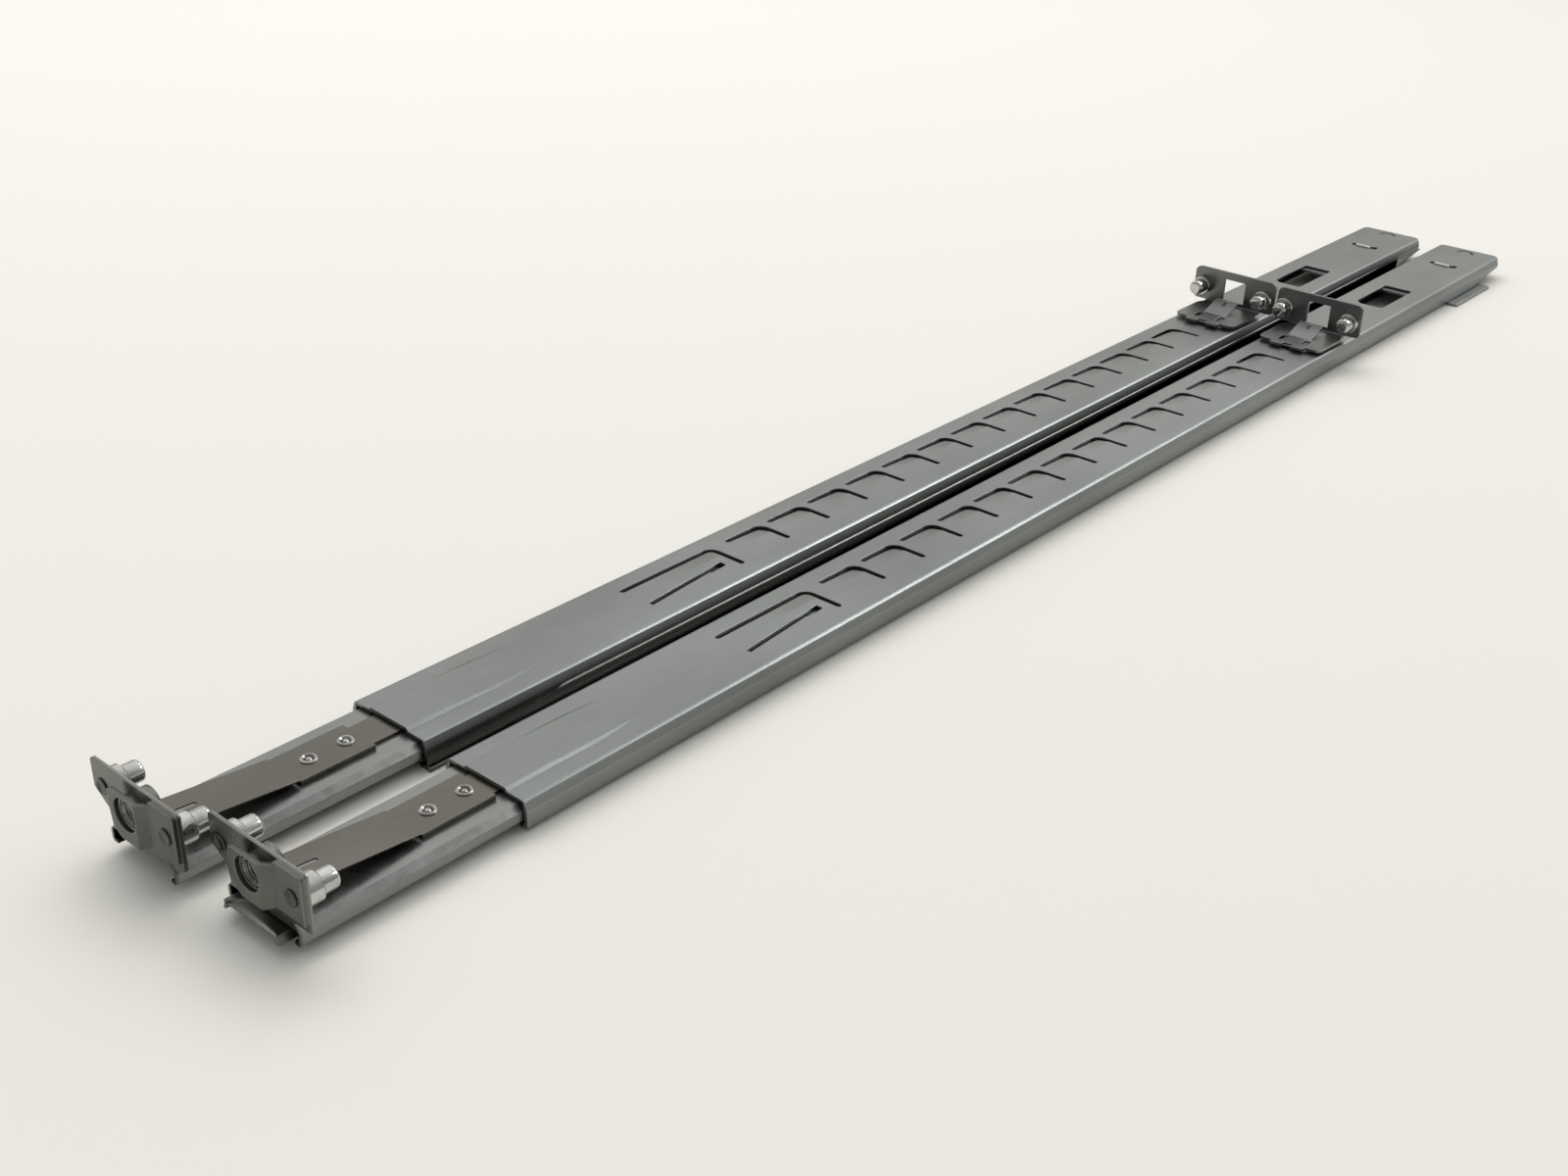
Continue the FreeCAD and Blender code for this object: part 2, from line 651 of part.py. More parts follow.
def make_front_latch(backing_label, root_label, blade_label):
    """The spring leaf that snaps behind the front post, its riveted end and the backing under it."""
    rivets = [(f"leaf_rivet_x + {step} * leaf_rivet_pitch", "0", "rivet_shank_dia") for step in (0, 1)]
    backing = new_body(backing_label)
    plan = [
        ("leaf_hinge_x", "leaf_half"),
        ("leaf_end_x", "leaf_half"),
        ("leaf_end_x", "backing_tail_half"),
        ("backing_tail_x", "backing_tail_half"),
        ("backing_tail_x", "-backing_tail_half"),
        ("leaf_end_x", "-backing_tail_half"),
        ("leaf_end_x", "-leaf_half"),
        ("leaf_hinge_x", "-leaf_half"),
    ]
    pad(backing, "XY", MEMBER_TOP, plan, "backing_sheet", rivets)
    root = make_strip(root_label, [("leaf_hinge_x", LEAF_SEAT), ("leaf_end_x", LEAF_SEAT)], "leaf_half")
    pocket(root, "XY", "sleeve_sheet", [], "sleeve_depth", rivets)
    blade = make_strip(blade_label, [("leaf_tip_x", f"{LEAF_SEAT} + leaf_tip_rise"),
                                     ("leaf_hinge_x - leaf_split", LEAF_SEAT)], "leaf_half",
                       ("leaf_tip_x + leaf_slot_inset", "leaf_tip_x + leaf_slot_inset + leaf_slot_length"))
    return [backing, root, blade]


def make_rear_latch(root_label, blade_label):
    """The shorter leaf on the rear bracket's foot, which snaps in front of the rear post."""
    seat = "bracket_sheet"
    root = make_strip(root_label, [("rear_leaf_root_x", seat), ("rear_leaf_hinge_x", seat)],
                      "rear_leaf_half")
    blade = make_strip(blade_label, [("rear_leaf_hinge_x + leaf_split", seat),
                                     (REAR_LEAF_TIP_X, f"{seat} + rear_leaf_rise")], "rear_leaf_half",
                       (f"{REAR_LEAF_TIP_X} - leaf_slot_inset - leaf_slot_length / 2",
                        f"{REAR_LEAF_TIP_X} - leaf_slot_inset"))
    return [root, blade]


def make_rivets(label, top, grip, axis, spacing):
    """Two low rivets with dimpled heads on the sheet at z = top, flush under it after the grip."""
    body = new_body(label)
    outline = [
        ("0", f"{top} - ({grip})"),
        ("rivet_shank_dia / 2", f"{top} - ({grip})"),
        ("rivet_shank_dia / 2", top),
        ("rivet_head_dia / 2", top),
        ("rivet_head_dia / 2", f"{top} + rivet_head / 2"),
        ("rivet_head_dia / 2 - rivet_head", f"{top} + rivet_head"),
        ("rivet_dimple_dia / 2", f"{top} + rivet_head"),
        ("rivet_dimple_dia / 2 - rivet_dimple", f"{top} + rivet_head - rivet_dimple"),
        ("0", f"{top} + rivet_head - rivet_dimple"),
    ]
    turned = revolve(body, outline, plane="XZ", axis="V_Axis")
    repeat(body, [turned], "2", spacing, axis)
    return body


def make_runner(label):
    """The intermediate member: grooved outside for the outer balls, open inside for the server's slide."""
    body = new_body(label)
    half = [
        (GROOVE_Y, RUNNER_TOP),
        (GROOVE_Y, "-runner_groove_low"),
        ("runner_half", "-runner_groove_low - runner_sheet"),
        ("runner_half", f"{RUNNER_FLOOR} - runner_sheet * 0.3"),
        ("runner_half - runner_sheet * 0.7", "-runner_depth"),
        ("runner_half - runner_lip", "-runner_depth"),
        ("runner_half - runner_lip", RUNNER_FLOOR),
        ("runner_half - runner_sheet", RUNNER_FLOOR),
        ("runner_half - runner_sheet", "-runner_groove_low - runner_sheet * 1.3"),
        (f"{GROOVE_Y} - runner_sheet", "-runner_groove_low - runner_sheet * 0.3"),
        (f"{GROOVE_Y} - runner_sheet", RUNNER_UNDER),
    ]
    pad(body, "YZ", "-runner_nose", both_sides(half), "runner_length")
    return body


def make_ball_cage(label):
    """The comb that spaces the outer balls: a thin web with two turned-down sides."""
    body = new_body(label)
    edge = f"({BALL_Y} + cage_sheet / 2)"
    foot = f"({BALL_Z} - ball_dia / 2)"
    half = [
        (edge, CAGE_TOP),
        (edge, foot),
        (f"{edge} - cage_sheet", foot),
        (f"{edge} - cage_sheet", f"{CAGE_TOP} - cage_sheet"),
    ]
    pad(body, "YZ", "cage_start", both_sides(half), "cage_length")
    first = "(cage_start + (cage_length - cage_pitch * (cage_count - 1)) / 2)"
    hole = "ball_dia + cage_gap * 2"
    cuts = []
    for side in ("", "-"):
        near = f"{side}({BALL_Y} - ball_dia / 2 - cage_gap)"
        far = f"{side}({BALL_Y} + ball_dia / 2 + cage_gap)"
        box = rectangle(f"{first} - ({hole}) / 2", f"{first} + ({hole}) / 2", near, far)
        cuts.append(pocket(body, "XY", "0", [box], "sleeve_depth"))
    repeat(body, cuts, "cage_count", "cage_pitch")
    return body


def make_inner_cage(label):
    """The retainer inside the intermediate member, which the server's slide meets first."""
    body = new_body(label)
    edge = f"({INNER_BALL_Y} + inner_cage_sheet / 2)"
    foot = f"({INNER_BALL_Z} - inner_ball_dia / 2)"
    half = [
        (edge, INNER_CAGE_TOP),
        (edge, foot),
        (f"{edge} - inner_cage_sheet", foot),
        (f"{edge} - inner_cage_sheet", f"{INNER_CAGE_TOP} - inner_cage_sheet"),
    ]
    pad(body, "YZ", "inner_cage_start", both_sides(half), "inner_cage_length")
    first = "(inner_cage_start + (inner_cage_length - inner_cage_pitch * (inner_cage_count - 1)) / 2)"
    hole = "inner_ball_dia + ball_play * 4"
    slot = rectangle(f"{first} - ({hole}) / 2", f"{first} + ({hole}) / 2",
                     "-runner_depth", f"{INNER_BALL_Z} + ({hole}) / 2")
    cut = pocket(body, "XZ", "-runner_half", [slot], "-runner_half * 2")
    repeat(body, [cut], "inner_cage_count", "inner_cage_pitch")
    return body


def make_bumper(label):
    """The stop block behind the intermediate member, at the cabinet member's rear."""
    body = new_body(label)
    start = "(runner_length - runner_nose + runner_gap)"
    block = rectangle(start, f"{start} + bumper_length", f"-({GROOVE_Y})", GROOVE_Y)
    pad(body, "XY", "-sleeve_depth + sleeve_sheet", block,
        f"sleeve_depth - sleeve_sheet + {MEMBER_UNDER}")
    return body


def make_arm_bracket(label):
    """The plate inside the sleeve's tail whose tab takes the cable arm, with a lug up through the slot."""
    body = new_body(label)
    plate = rectangle(f"{ARM_END} - arm_length", ARM_END, "-arm_half", "arm_half")
    pad(body, "XY", f"{WEB_UNDER} - arm_sheet", plate, "arm_sheet")
    tab_start = f"{ARM_TAB_END} - arm_tab_length"
    wall = rectangle(tab_start, ARM_TAB_END, "-arm_half", "-arm_half + arm_sheet")
    pad(body, "XY", "-sleeve_depth - arm_sheet", wall, "sleeve_depth + arm_sheet - sleeve_sheet")
    tab = rectangle(tab_start, ARM_TAB_END, "-arm_tab_reach", "-arm_half")
    pad(body, "XY", "-sleeve_depth - arm_sheet", tab, "arm_sheet")
    lug = rectangle(f"{TAIL_SLOT_X} + member_gap", f"{TAIL_SLOT_X} + member_gap + arm_sheet",
                    "-arm_lug_half", "arm_lug_half")
    pad(body, "XY", WEB_UNDER, lug, "sleeve_sheet + arm_lug_height")
    return body


# ---------------------------------------------------------------- the two rails
SPAN_FRONT = "-(left_draw + runner_nose)"
SPAN_MIDDLE = f"(({SPAN_FRONT} + {SLEEVE_END}) / 2 + left_stagger)"
SPAN_SIDE = "((bracket_half - arm_tab_reach) / 2)"


def place(body, forward, across="0", up="0", side="right"):
    """Put a body of one rail in the pair's frame, shifted in the rail's own axes."""
    stagger = "left_stagger" if side == "left" else "0"
    row = "rail_pitch / 2" if side == "left" else "-rail_pitch / 2"
    body.setExpression("Placement.Base.x", cells(f"{forward} + {stagger} - {SPAN_MIDDLE}"))
    body.setExpression("Placement.Base.y", cells(f"{across} + {row} - {SPAN_SIDE}"))
    body.setExpression("Placement.Base.z", cells(f"{up} + runner_depth"))


def make_rail(side):
    """Every piece of one rail; the pieces on the cabinet member are drawn out by the side's draw."""
    drawn = f"(-{side}_draw)"
    pins = "(-pin_spacing / 2)"
    fixed = [make_sleeve(side + "_sleeve"), make_rear_bracket(side + "_rear_bracket")]
    fixed += make_rear_latch(side + "_rear_latch_root", side + "_rear_latch_blade")
    fixed.append(make_arm_bracket(side + "_cable_arm_bracket"))
    for body in fixed:
        place(body, "0", side=side)
    rear_pins = make_pins(side + "_rear_pins", REAR_PLATE_FRONT, "bracket_x")
    place(rear_pins, "0", pins, "pin_z", side)
    rivets = make_rivets(side + "_rear_bracket_rivets", "bracket_sheet",
                         "bracket_sheet + sleeve_sheet", "Y_Axis", "bracket_rivet_half * 2")
    place(rivets, "bracket_rivet_x", "(-bracket_rivet_half)", "0", side)
    moving = [make_cabinet_member(side + "_cabinet_member"),
              make_thumbscrew_plate(side + "_thumbscrew_plate"),
              make_runner(side + "_intermediate_member"),
              make_ball_cage(side + "_ball_cage"),
              make_inner_cage(side + "_inner_ball_cage"),
              make_bumper(side + "_slide_bumper")]
    moving += make_front_latch(side + "_front_latch_backing", side + "_front_latch_root",
                               side + "_front_latch_blade")
    balls = new_body(side + "_bearing_balls")
    ball_rows(balls, "ball_dia", "cage_start + (cage_length - cage_pitch * (cage_count - 1)) / 2",
              BALL_Y, BALL_Z, "cage_count", "cage_pitch")
    inner_balls = new_body(side + "_inner_bearing_balls")
    ball_rows(inner_balls, "inner_ball_dia",
              "inner_cage_start + (inner_cage_length - inner_cage_pitch * (inner_cage_count - 1)) / 2",
              INNER_BALL_Y, INNER_BALL_Z, "inner_cage_count", "inner_cage_pitch")
    for body in moving + [balls, inner_balls]:
        place(body, drawn, side=side)
    front_pins = make_pins(side + "_front_pins", FLANGE_BACK, "0")
    place(front_pins, drawn, pins, "pin_z", side)
    nut = make_nut(side + "_thumbscrew_nut")
    place(nut, drawn, "0", "screw_z", side)
    leaf_rivets = make_rivets(side + "_front_latch_rivets", f"({LEAF_SEAT} + leaf_sheet)",
                              "leaf_sheet + backing_sheet + member_sheet", "X_Axis", "leaf_rivet_pitch")
    place(leaf_rivets, f"leaf_rivet_x + {drawn}", "0", "0", side)
    return fixed + [rear_pins, rivets] + moving + [balls, inner_balls, front_pins, nut, leaf_rivets]


pieces = make_rail("left") + make_rail("right")
doc.recompute()

# ---------------------------------------------------------------- checks and files
failed = [item.Label for item in doc.Objects if "Invalid" in item.State or "Error" in item.State]
if failed:
    raise RuntimeError(f"did not build: {failed}")
for piece in pieces:
    if piece.Shape.isNull() or not piece.Shape.isValid():
        raise RuntimeError(f"{piece.Label} has no valid shape")

os.makedirs("parts", exist_ok=True)
for piece in pieces:
    piece.Shape.exportStep(f"parts/{piece.Label}.step")
    print(piece.Label, len(piece.Shape.Solids), round(piece.Shape.Volume, 1))
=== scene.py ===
"""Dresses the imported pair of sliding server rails: zinc-plated sheet steel, spring leaves, pins.

Metres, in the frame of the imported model: +X from the front flanges to the rear, +Y from the right
rail to the left one, +Z up out of the rails' outer faces.  The pieces made here are drawn in a
rail's own millimetres, as the CAD draws them, and moved to their rail at the end.
"""
import json
import math

import bmesh
import bpy
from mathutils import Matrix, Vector
from mathutils.geometry import tessellate_polygon

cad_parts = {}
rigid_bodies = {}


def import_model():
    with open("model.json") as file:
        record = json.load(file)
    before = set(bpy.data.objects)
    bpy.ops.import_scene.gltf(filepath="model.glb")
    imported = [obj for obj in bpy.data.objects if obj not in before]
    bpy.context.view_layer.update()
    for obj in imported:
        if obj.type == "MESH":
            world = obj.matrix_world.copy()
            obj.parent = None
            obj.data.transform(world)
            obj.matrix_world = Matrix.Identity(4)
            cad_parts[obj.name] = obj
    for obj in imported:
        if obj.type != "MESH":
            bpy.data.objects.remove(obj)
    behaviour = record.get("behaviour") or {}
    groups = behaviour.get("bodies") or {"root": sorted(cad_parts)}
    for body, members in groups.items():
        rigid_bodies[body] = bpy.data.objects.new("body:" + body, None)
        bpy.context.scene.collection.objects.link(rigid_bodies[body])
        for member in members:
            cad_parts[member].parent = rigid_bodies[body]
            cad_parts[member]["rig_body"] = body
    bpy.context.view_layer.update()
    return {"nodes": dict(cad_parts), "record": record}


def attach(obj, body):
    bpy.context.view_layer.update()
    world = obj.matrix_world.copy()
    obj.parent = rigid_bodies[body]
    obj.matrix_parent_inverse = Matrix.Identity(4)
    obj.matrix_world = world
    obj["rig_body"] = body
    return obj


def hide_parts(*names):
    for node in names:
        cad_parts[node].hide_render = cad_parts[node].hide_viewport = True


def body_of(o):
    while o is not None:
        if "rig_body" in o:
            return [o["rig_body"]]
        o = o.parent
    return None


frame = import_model()

MM = 0.001
SIDES = ("left", "right")
# Where a rail's own zero lies in the frame, in mm: for what stays with the sleeve, and for what
# the rail's front end carries, which the left rail has drawn out a little.
FIXED = {"right": (-372.5, -21.4, 10.0), "left": (-371.4, 22.4, 10.0)}
DRAWN = {"right": (-372.5, -21.4, 10.0), "left": (-379.1, 22.4, 10.0)}

# ---------------------------------------------------------------- materials
ZINC_DARK = (0.200, 0.211, 0.208)
ZINC_LIGHT = (0.262, 0.276, 0.272)
# painted highlight and wear: the pale colour that sharp edges are lightened towards, for rubbed plating
# and for the light their rounds catch
EDGE_WEAR_AND_HIGHLIGHT = (0.62, 0.63, 0.62)
MEMBER_DARK = (0.205, 0.213, 0.208)
MEMBER_LIGHT = (0.263, 0.274, 0.267)
BRACKET_DARK = (0.158, 0.164, 0.160)
BRACKET_LIGHT = (0.203, 0.211, 0.205)
# painted shade: darker zinc for the flange and plate fronts that face away from the light, and for the
# shaded tabs, wall and runner
PAINTED_SHADE_DARK = (0.085, 0.087, 0.079)
PAINTED_SHADE_LIGHT = (0.150, 0.154, 0.141)
# painted shade: near black for the inside of channels and recesses that get no light
INSIDE_SHADE = (0.026, 0.027, 0.025)
BRIGHT_DARK = (0.40, 0.40, 0.39)
BRIGHT_LIGHT = (0.58, 0.58, 0.57)
SPRING_DARK = (0.112, 0.104, 0.092)
SPRING_LIGHT = (0.158, 0.147, 0.131)
RIVET_DARK = (0.26, 0.255, 0.24)
RIVET_LIGHT = (0.42, 0.415, 0.40)
STUB_DARK = (0.055, 0.055, 0.050)
STUB_LIGHT = (0.12, 0.12, 0.11)
PLASTIC_DARK = (0.012, 0.012, 0.013)
PLASTIC_LIGHT = (0.022, 0.022, 0.023)


class Shader:
    """One node material: base colour, roughness and bump worked out from the piece's own metres."""

    def __init__(self, name, metallic):
        self.material = bpy.data.materials.new(name)
        self.material.use_nodes = True
        self.tree = self.material.node_tree
        self.principled = self.tree.nodes["Principled BSDF"]
        self.principled.inputs["Metallic"].default_value = metallic
        self.place = self.add("ShaderNodeTexCoord").outputs["Object"]

    def add(self, kind, **inputs):
        node = self.tree.nodes.new(kind)
        for key, value in inputs.items():
            socket = node.inputs[key.replace("_", " ")]
            if isinstance(value, bpy.types.NodeSocket):
                self.tree.links.new(value, socket)
            else:
                socket.default_value = value
        return node

    def noise(self, size, detail=3.0, stretch=(1.0, 1.0, 1.0), rough=0.5):
        """Noise whose features are about size metres across, times stretch along each axis."""
        mapping = self.add("ShaderNodeMapping", Vector=self.place,
                           Scale=[1.0 / (size * s) for s in stretch])
        made = self.add("ShaderNodeTexNoise", Vector=mapping.outputs["Vector"], Scale=1.0,
                        Detail=detail, Roughness=rough)
        return made.outputs["Fac"]

    def ramp(self, value, low, high, start, end, kind="LINEAR"):
        """value from start..end mapped to low..high, held at both ends."""
        made = self.add("ShaderNodeMapRange", Value=value)
        made.interpolation_type = kind
        limits = {"From Min": start, "From Max": end, "To Min": low, "To Max": high}
        for name, number in limits.items():
            made.inputs[name].default_value = number
        return made.outputs["Result"]

    def maths(self, operation, first, second=0.0):
        made = self.tree.nodes.new("ShaderNodeMath")
        made.operation = operation
        for index, value in enumerate((first, second)):
            if isinstance(value, bpy.types.NodeSocket):
                self.tree.links.new(value, made.inputs[index])
            else:
                made.inputs[index].default_value = value
        return made.outputs["Value"]

    def product(self, *values):
        made = values[0]
        for value in values[1:]:
            made = self.maths("MULTIPLY", made, value)
        return made

    def mix(self, share, first, second):
        made = self.tree.nodes.new("ShaderNodeMix")
        made.data_type = "RGBA"
        for name, value in (("Factor", share), ("A", first), ("B", second)):
            sockets = [s for s in made.inputs if s.name == name and s.enabled]
            if isinstance(value, bpy.types.NodeSocket):
                self.tree.links.new(value, sockets[0])
            else:
                sockets[0].default_value = (*value, 1.0)
        return [s for s in made.outputs if s.enabled][0]

    def rail_place(self, zero):
        """The point's own x, y and z on its rail, in mm; zero is the rail's place in the frame."""
        parts = self.add("ShaderNodeSeparateXYZ", Vector=self.place)
        return [self.maths("SUBTRACT", self.maths("MULTIPLY", parts.outputs[axis], 1.0 / MM),
                           zero[index])
                for index, axis in enumerate("XYZ")]

    def paint(self, colour, roughness, height, depth, edge=0.0, pressed=None, wear_and_highlight=0.6):
        """Join the finished colour, roughness and height (of that depth in metres) to the surface.
        edge is the radius that sharp edges are shaded with and lightened along, wear_and_highlight how
        bright they are lightened, as rubbed wear and as painted highlight, and pressed a height in
        metres."""
        normal = None
        if edge:
            rounding = self.add("ShaderNodeBevel", Radius=edge)
            rounding.samples = 6
            normal = rounding.outputs["Normal"]
            turn = self.tree.nodes.new("ShaderNodeVectorMath")
            turn.operation = "DOT_PRODUCT"
            self.tree.links.new(normal, turn.inputs[0])
            self.tree.links.new(self.add("ShaderNodeNewGeometry").outputs["Normal"], turn.inputs[1])
            # painted highlight and wear: sharp edges are lightened as rubbed plating and as the light
            # their rounds catch
            colour = self.mix(self.ramp(turn.outputs["Value"], wear_and_highlight, 0.0, 0.72, 0.97), colour, EDGE_WEAR_AND_HIGHLIGHT)
        self.tree.links.new(colour, self.principled.inputs["Base Color"])
        self.tree.links.new(roughness, self.principled.inputs["Roughness"])
        if pressed is not None:
            form = self.add("ShaderNodeBump", Height=pressed, Strength=1.0, Distance=1.0)
            if normal is not None:
                self.tree.links.new(normal, form.inputs["Normal"])
            normal = form.outputs["Normal"]
        bump = self.add("ShaderNodeBump", Height=height, Strength=1.0, Distance=depth)
        if normal is not None:
            self.tree.links.new(normal, bump.inputs["Normal"])
        self.tree.links.new(bump.outputs["Normal"], self.principled.inputs["Normal"])
        return self.material


def sheet_look(shader, dark, light, roughness, grain):
    """Plated sheet: soft clouds in the plating, faint rolling streaks along x, and fine grain.
    Returns the colour, the roughness and the fine height."""
    clouds = shader.noise(0.034, 4.0, (2.4, 1.0, 1.0), 0.55)
    streaks = shader.noise(0.0016, 4.0, (26.0, 1.0, 1.0), 0.6)
    specks = shader.noise(grain, 2.0)
    tone = shader.maths("ADD", shader.product(clouds, 0.72),
                        shader.maths("ADD", shader.product(streaks, 0.08),
                                     shader.product(specks, 0.20)))
    colour = shader.mix(shader.ramp(tone, 0.0, 1.0, 0.36, 0.64), dark, light)
    worn = shader.maths("ADD", shader.product(streaks, 0.15), shader.product(specks, 0.85))
    rough = shader.ramp(worn, roughness - 0.04, roughness + 0.06, 0.3, 0.7)
    height = shader.maths("ADD", shader.product(specks, 0.92), shader.product(streaks, 0.08))
    return colour, rough, height


def rolled_steel(name, dark, light, metallic, roughness, grain=0.0009, depth=0.000004, edge=0.0):
    shader = Shader(name, metallic)
    colour, rough, height = sheet_look(shader, dark, light, roughness, grain)
    return shader.paint(colour, rough, height, depth, edge)


FIRST_TAB, TAB_PITCH, TAB_COUNT, TAB_LENGTH = 228.5, 22.15, 14, 17.0
TONGUE_START, TONGUE_LENGTH = 177.0, 43.0
CREASE_Y, SLOT_Y, TAB_PRESS = 1.6, 7.2, 0.00075


def slotted_steel(name, side):
    """The sleeve's sheet.  Its tabs and tongue are painted a little darker as the shade of their bend,
    and its tongue is pressed down in the bump; the inside of the channel is painted dark as shade."""
    shader = Shader(name, 0.92)
    colour, rough, height = sheet_look(shader, ZINC_DARK, ZINC_LIGHT, 0.33, 0.0009)
    x, y, z = shader.rail_place(FIXED[side])
    along = shader.maths("MODULO", shader.maths("SUBTRACT", x, FIRST_TAB), TAB_PITCH)
    tabs = shader.product(shader.ramp(along, 0.0, 1.0, 2.0, TAB_LENGTH, "SMOOTHSTEP"),
                          shader.maths("LESS_THAN", along, TAB_LENGTH),
                          shader.maths("GREATER_THAN", x, FIRST_TAB),
                          shader.maths("LESS_THAN", x, FIRST_TAB + TAB_PITCH * TAB_COUNT))
    tongue_end = TONGUE_START + TONGUE_LENGTH
    tongue = shader.product(shader.ramp(x, 0.0, 1.0, TONGUE_START + 8.0, tongue_end, "SMOOTHSTEP"),
                            shader.maths("LESS_THAN", x, tongue_end))
    reach = shader.product(shader.ramp(y, 0.0, 1.0, CREASE_Y, SLOT_Y),
                           shader.maths("LESS_THAN", y, SLOT_Y))
    tab_bend_shade = shader.product(shader.maths("ADD", tabs, tongue), reach)
    # painted shade: the bent-down tabs and tongue are painted a little darker
    shaded = shader.mix(shader.product(tab_bend_shade, 0.16), colour, PAINTED_SHADE_LIGHT)
    # painted shade: the inside of the channel is painted dark, as the shade inside it
    inside = shader.ramp(z, 0.95, 0.0, -1.0, -0.3)
    within = shader.maths("LESS_THAN", shader.maths("ABSOLUTE", y), 15.2)
    shaded = shader.mix(shader.product(inside, within), shaded, INSIDE_SHADE)
    if side == "left":
        # painted shade: the wall that faces the other rail is painted darker, as the shade the other rail
        # throws on it
        facing_wall_shade = shader.product(shader.ramp(z, 1.0, 0.0, -3.0, -0.9),
                                shader.maths("LESS_THAN", y, -15.5))
        shaded = shader.mix(shader.product(facing_wall_shade, 0.8), shaded, PAINTED_SHADE_DARK)
    return shader.paint(shaded, rough, height, 0.000004, 0.00035,
                        shader.product(tongue, reach, -TAB_PRESS), 0.28)


def flanged_steel(name, side):
    """The cabinet member: plain along its web; the front of its bent-up flange is painted darker as
    shade, and the inside under its web is painted dark as shade.
    """
    shader = Shader(name, 0.92)
    colour, rough, height = sheet_look(shader, MEMBER_DARK, MEMBER_LIGHT, 0.28, 0.005)
    x, y, z = shader.rail_place(DRAWN[side])
    # painted shade: the flange's front is painted darker, and the inside under the web near black
    flange_front_shade = shader.ramp(x, 1.0, 0.0, 1.75, 2.4)
    inside = shader.product(shader.ramp(z, 1.0, 0.0, -3.6, -2.4),
                            shader.maths("LESS_THAN", shader.maths("ABSOLUTE", y), 14.4))
    shaded = shader.mix(inside, shader.mix(flange_front_shade, colour, PAINTED_SHADE_LIGHT), INSIDE_SHADE)
    return shader.paint(shaded, rough, height, 0.0000015)


def turned_steel(name, dark, light, metallic, roughness):
    """Turned or polished steel with faint marks and handling smears."""
    shader = Shader(name, metallic)
    smears = shader.noise(0.006, 4.0, (1.0, 1.0, 1.0), 0.6)
    marks = shader.noise(0.00035, 2.0, (1.0, 9.0, 9.0))
    colour = shader.mix(shader.ramp(smears, 0.0, 1.0, 0.35, 0.65), dark, light)
    rough = shader.ramp(marks, roughness - 0.04, roughness + 0.06, 0.3, 0.7)
    return shader.paint(colour, rough, marks, 0.000004)


def moulded_plastic(name, dark, light):
    shader = Shader(name, 0.0)
    grain = shader.noise(0.0004, 3.0)
    broad = shader.noise(0.004, 3.0)
    colour = shader.mix(shader.ramp(broad, 0.0, 1.0, 0.35, 0.65), dark, light)
    return shader.paint(colour, shader.ramp(grain, 0.42, 0.6, 0.3, 0.7), grain, 0.00003)


LOOKS = {
    "zinc_steel": rolled_steel("zinc_steel", ZINC_DARK, ZINC_LIGHT, 0.92, 0.34, edge=0.0005),
    # painted shade: the plate is given the darker colours of faces turned from the light
    "flange_steel": rolled_steel("flange_steel", PAINTED_SHADE_DARK, PAINTED_SHADE_LIGHT, 0.85, 0.36,
                                 edge=0.0005),
    "bright_steel": turned_steel("bright_steel", BRIGHT_DARK, BRIGHT_LIGHT, 1.0, 0.09),
    "stub_steel": turned_steel("stub_steel", STUB_DARK, STUB_LIGHT, 1.0, 0.30),
    "nut_steel": turned_steel("nut_steel", STUB_LIGHT, RIVET_DARK, 1.0, 0.26),
    "rivet_steel": turned_steel("rivet_steel", RIVET_DARK, RIVET_LIGHT, 1.0, 0.20),
    # painted shade: the rivets' wells are dark for the shade in their recess
    "well_shade_steel": turned_steel("well_shade_steel", INSIDE_SHADE, STUB_DARK, 1.0, 0.35),
    "spring_steel": rolled_steel("spring_steel", SPRING_DARK, SPRING_LIGHT, 1.0, 0.25,
                                 grain=0.005, depth=0.000002, edge=0.0002),
    "bracket_zinc": rolled_steel("bracket_zinc", BRACKET_DARK, BRACKET_LIGHT, 0.92, 0.34,
                                 edge=0.0004),
    # painted highlight: the lug is pale and bright for the light that catches its edge
    "lug_highlight_steel": turned_steel("lug_highlight_steel", BRIGHT_LIGHT, (0.85, 0.85, 0.83), 0.8, 0.45),
    # painted shade: the runner is dark for the shade it lies in under the flange
    "shade_painted_zinc": rolled_steel("shade_painted_zinc", STUB_LIGHT, PAINTED_SHADE_LIGHT, 0.9, 0.32, edge=0.0004),
    "cage_steel": rolled_steel("cage_steel", ZINC_DARK, BRIGHT_DARK, 1.0, 0.33),
    "bumper_plastic": moulded_plastic("bumper_plastic", PLASTIC_DARK, PLASTIC_LIGHT),
}
for side in SIDES:
    LOOKS[f"{side}_sleeve"] = slotted_steel(f"sleeve_steel_{side}", side)
    LOOKS[f"{side}_cabinet_member"] = flanged_steel(f"member_steel_{side}", side)

SLOT_OF = {part["node"]: part["material_slot"] for part in frame["record"]["subparts"]}
for name, slot in SLOT_OF.items():
    node = frame["nodes"][name]
    node.data.materials.clear()
    look = LOOKS["bracket_zinc"] if "rear_latch" in name else LOOKS.get(name, LOOKS[slot])
    node.data.materials.append(look)


# ---------------------------------------------------------------- mesh helpers
def soften_edges(node, width, segments=2):
    """A small round on every sharp edge, as tumbling and plating leave it."""
    weld = node.modifiers.new("weld", "WELD")
    weld.merge_threshold = 0.002 * MM
    flat = node.modifiers.new("flat", "DECIMATE")
    flat.decimate_type = "DISSOLVE"
    flat.angle_limit = math.radians(0.6)
    bevel = node.modifiers.new("round", "BEVEL")
    bevel.width = width
    bevel.segments = segments
    bevel.limit_method = "ANGLE"
    bevel.angle_limit = math.radians(32)
    normals = node.modifiers.new("normals", "WEIGHTED_NORMAL")
    normals.keep_sharp = True


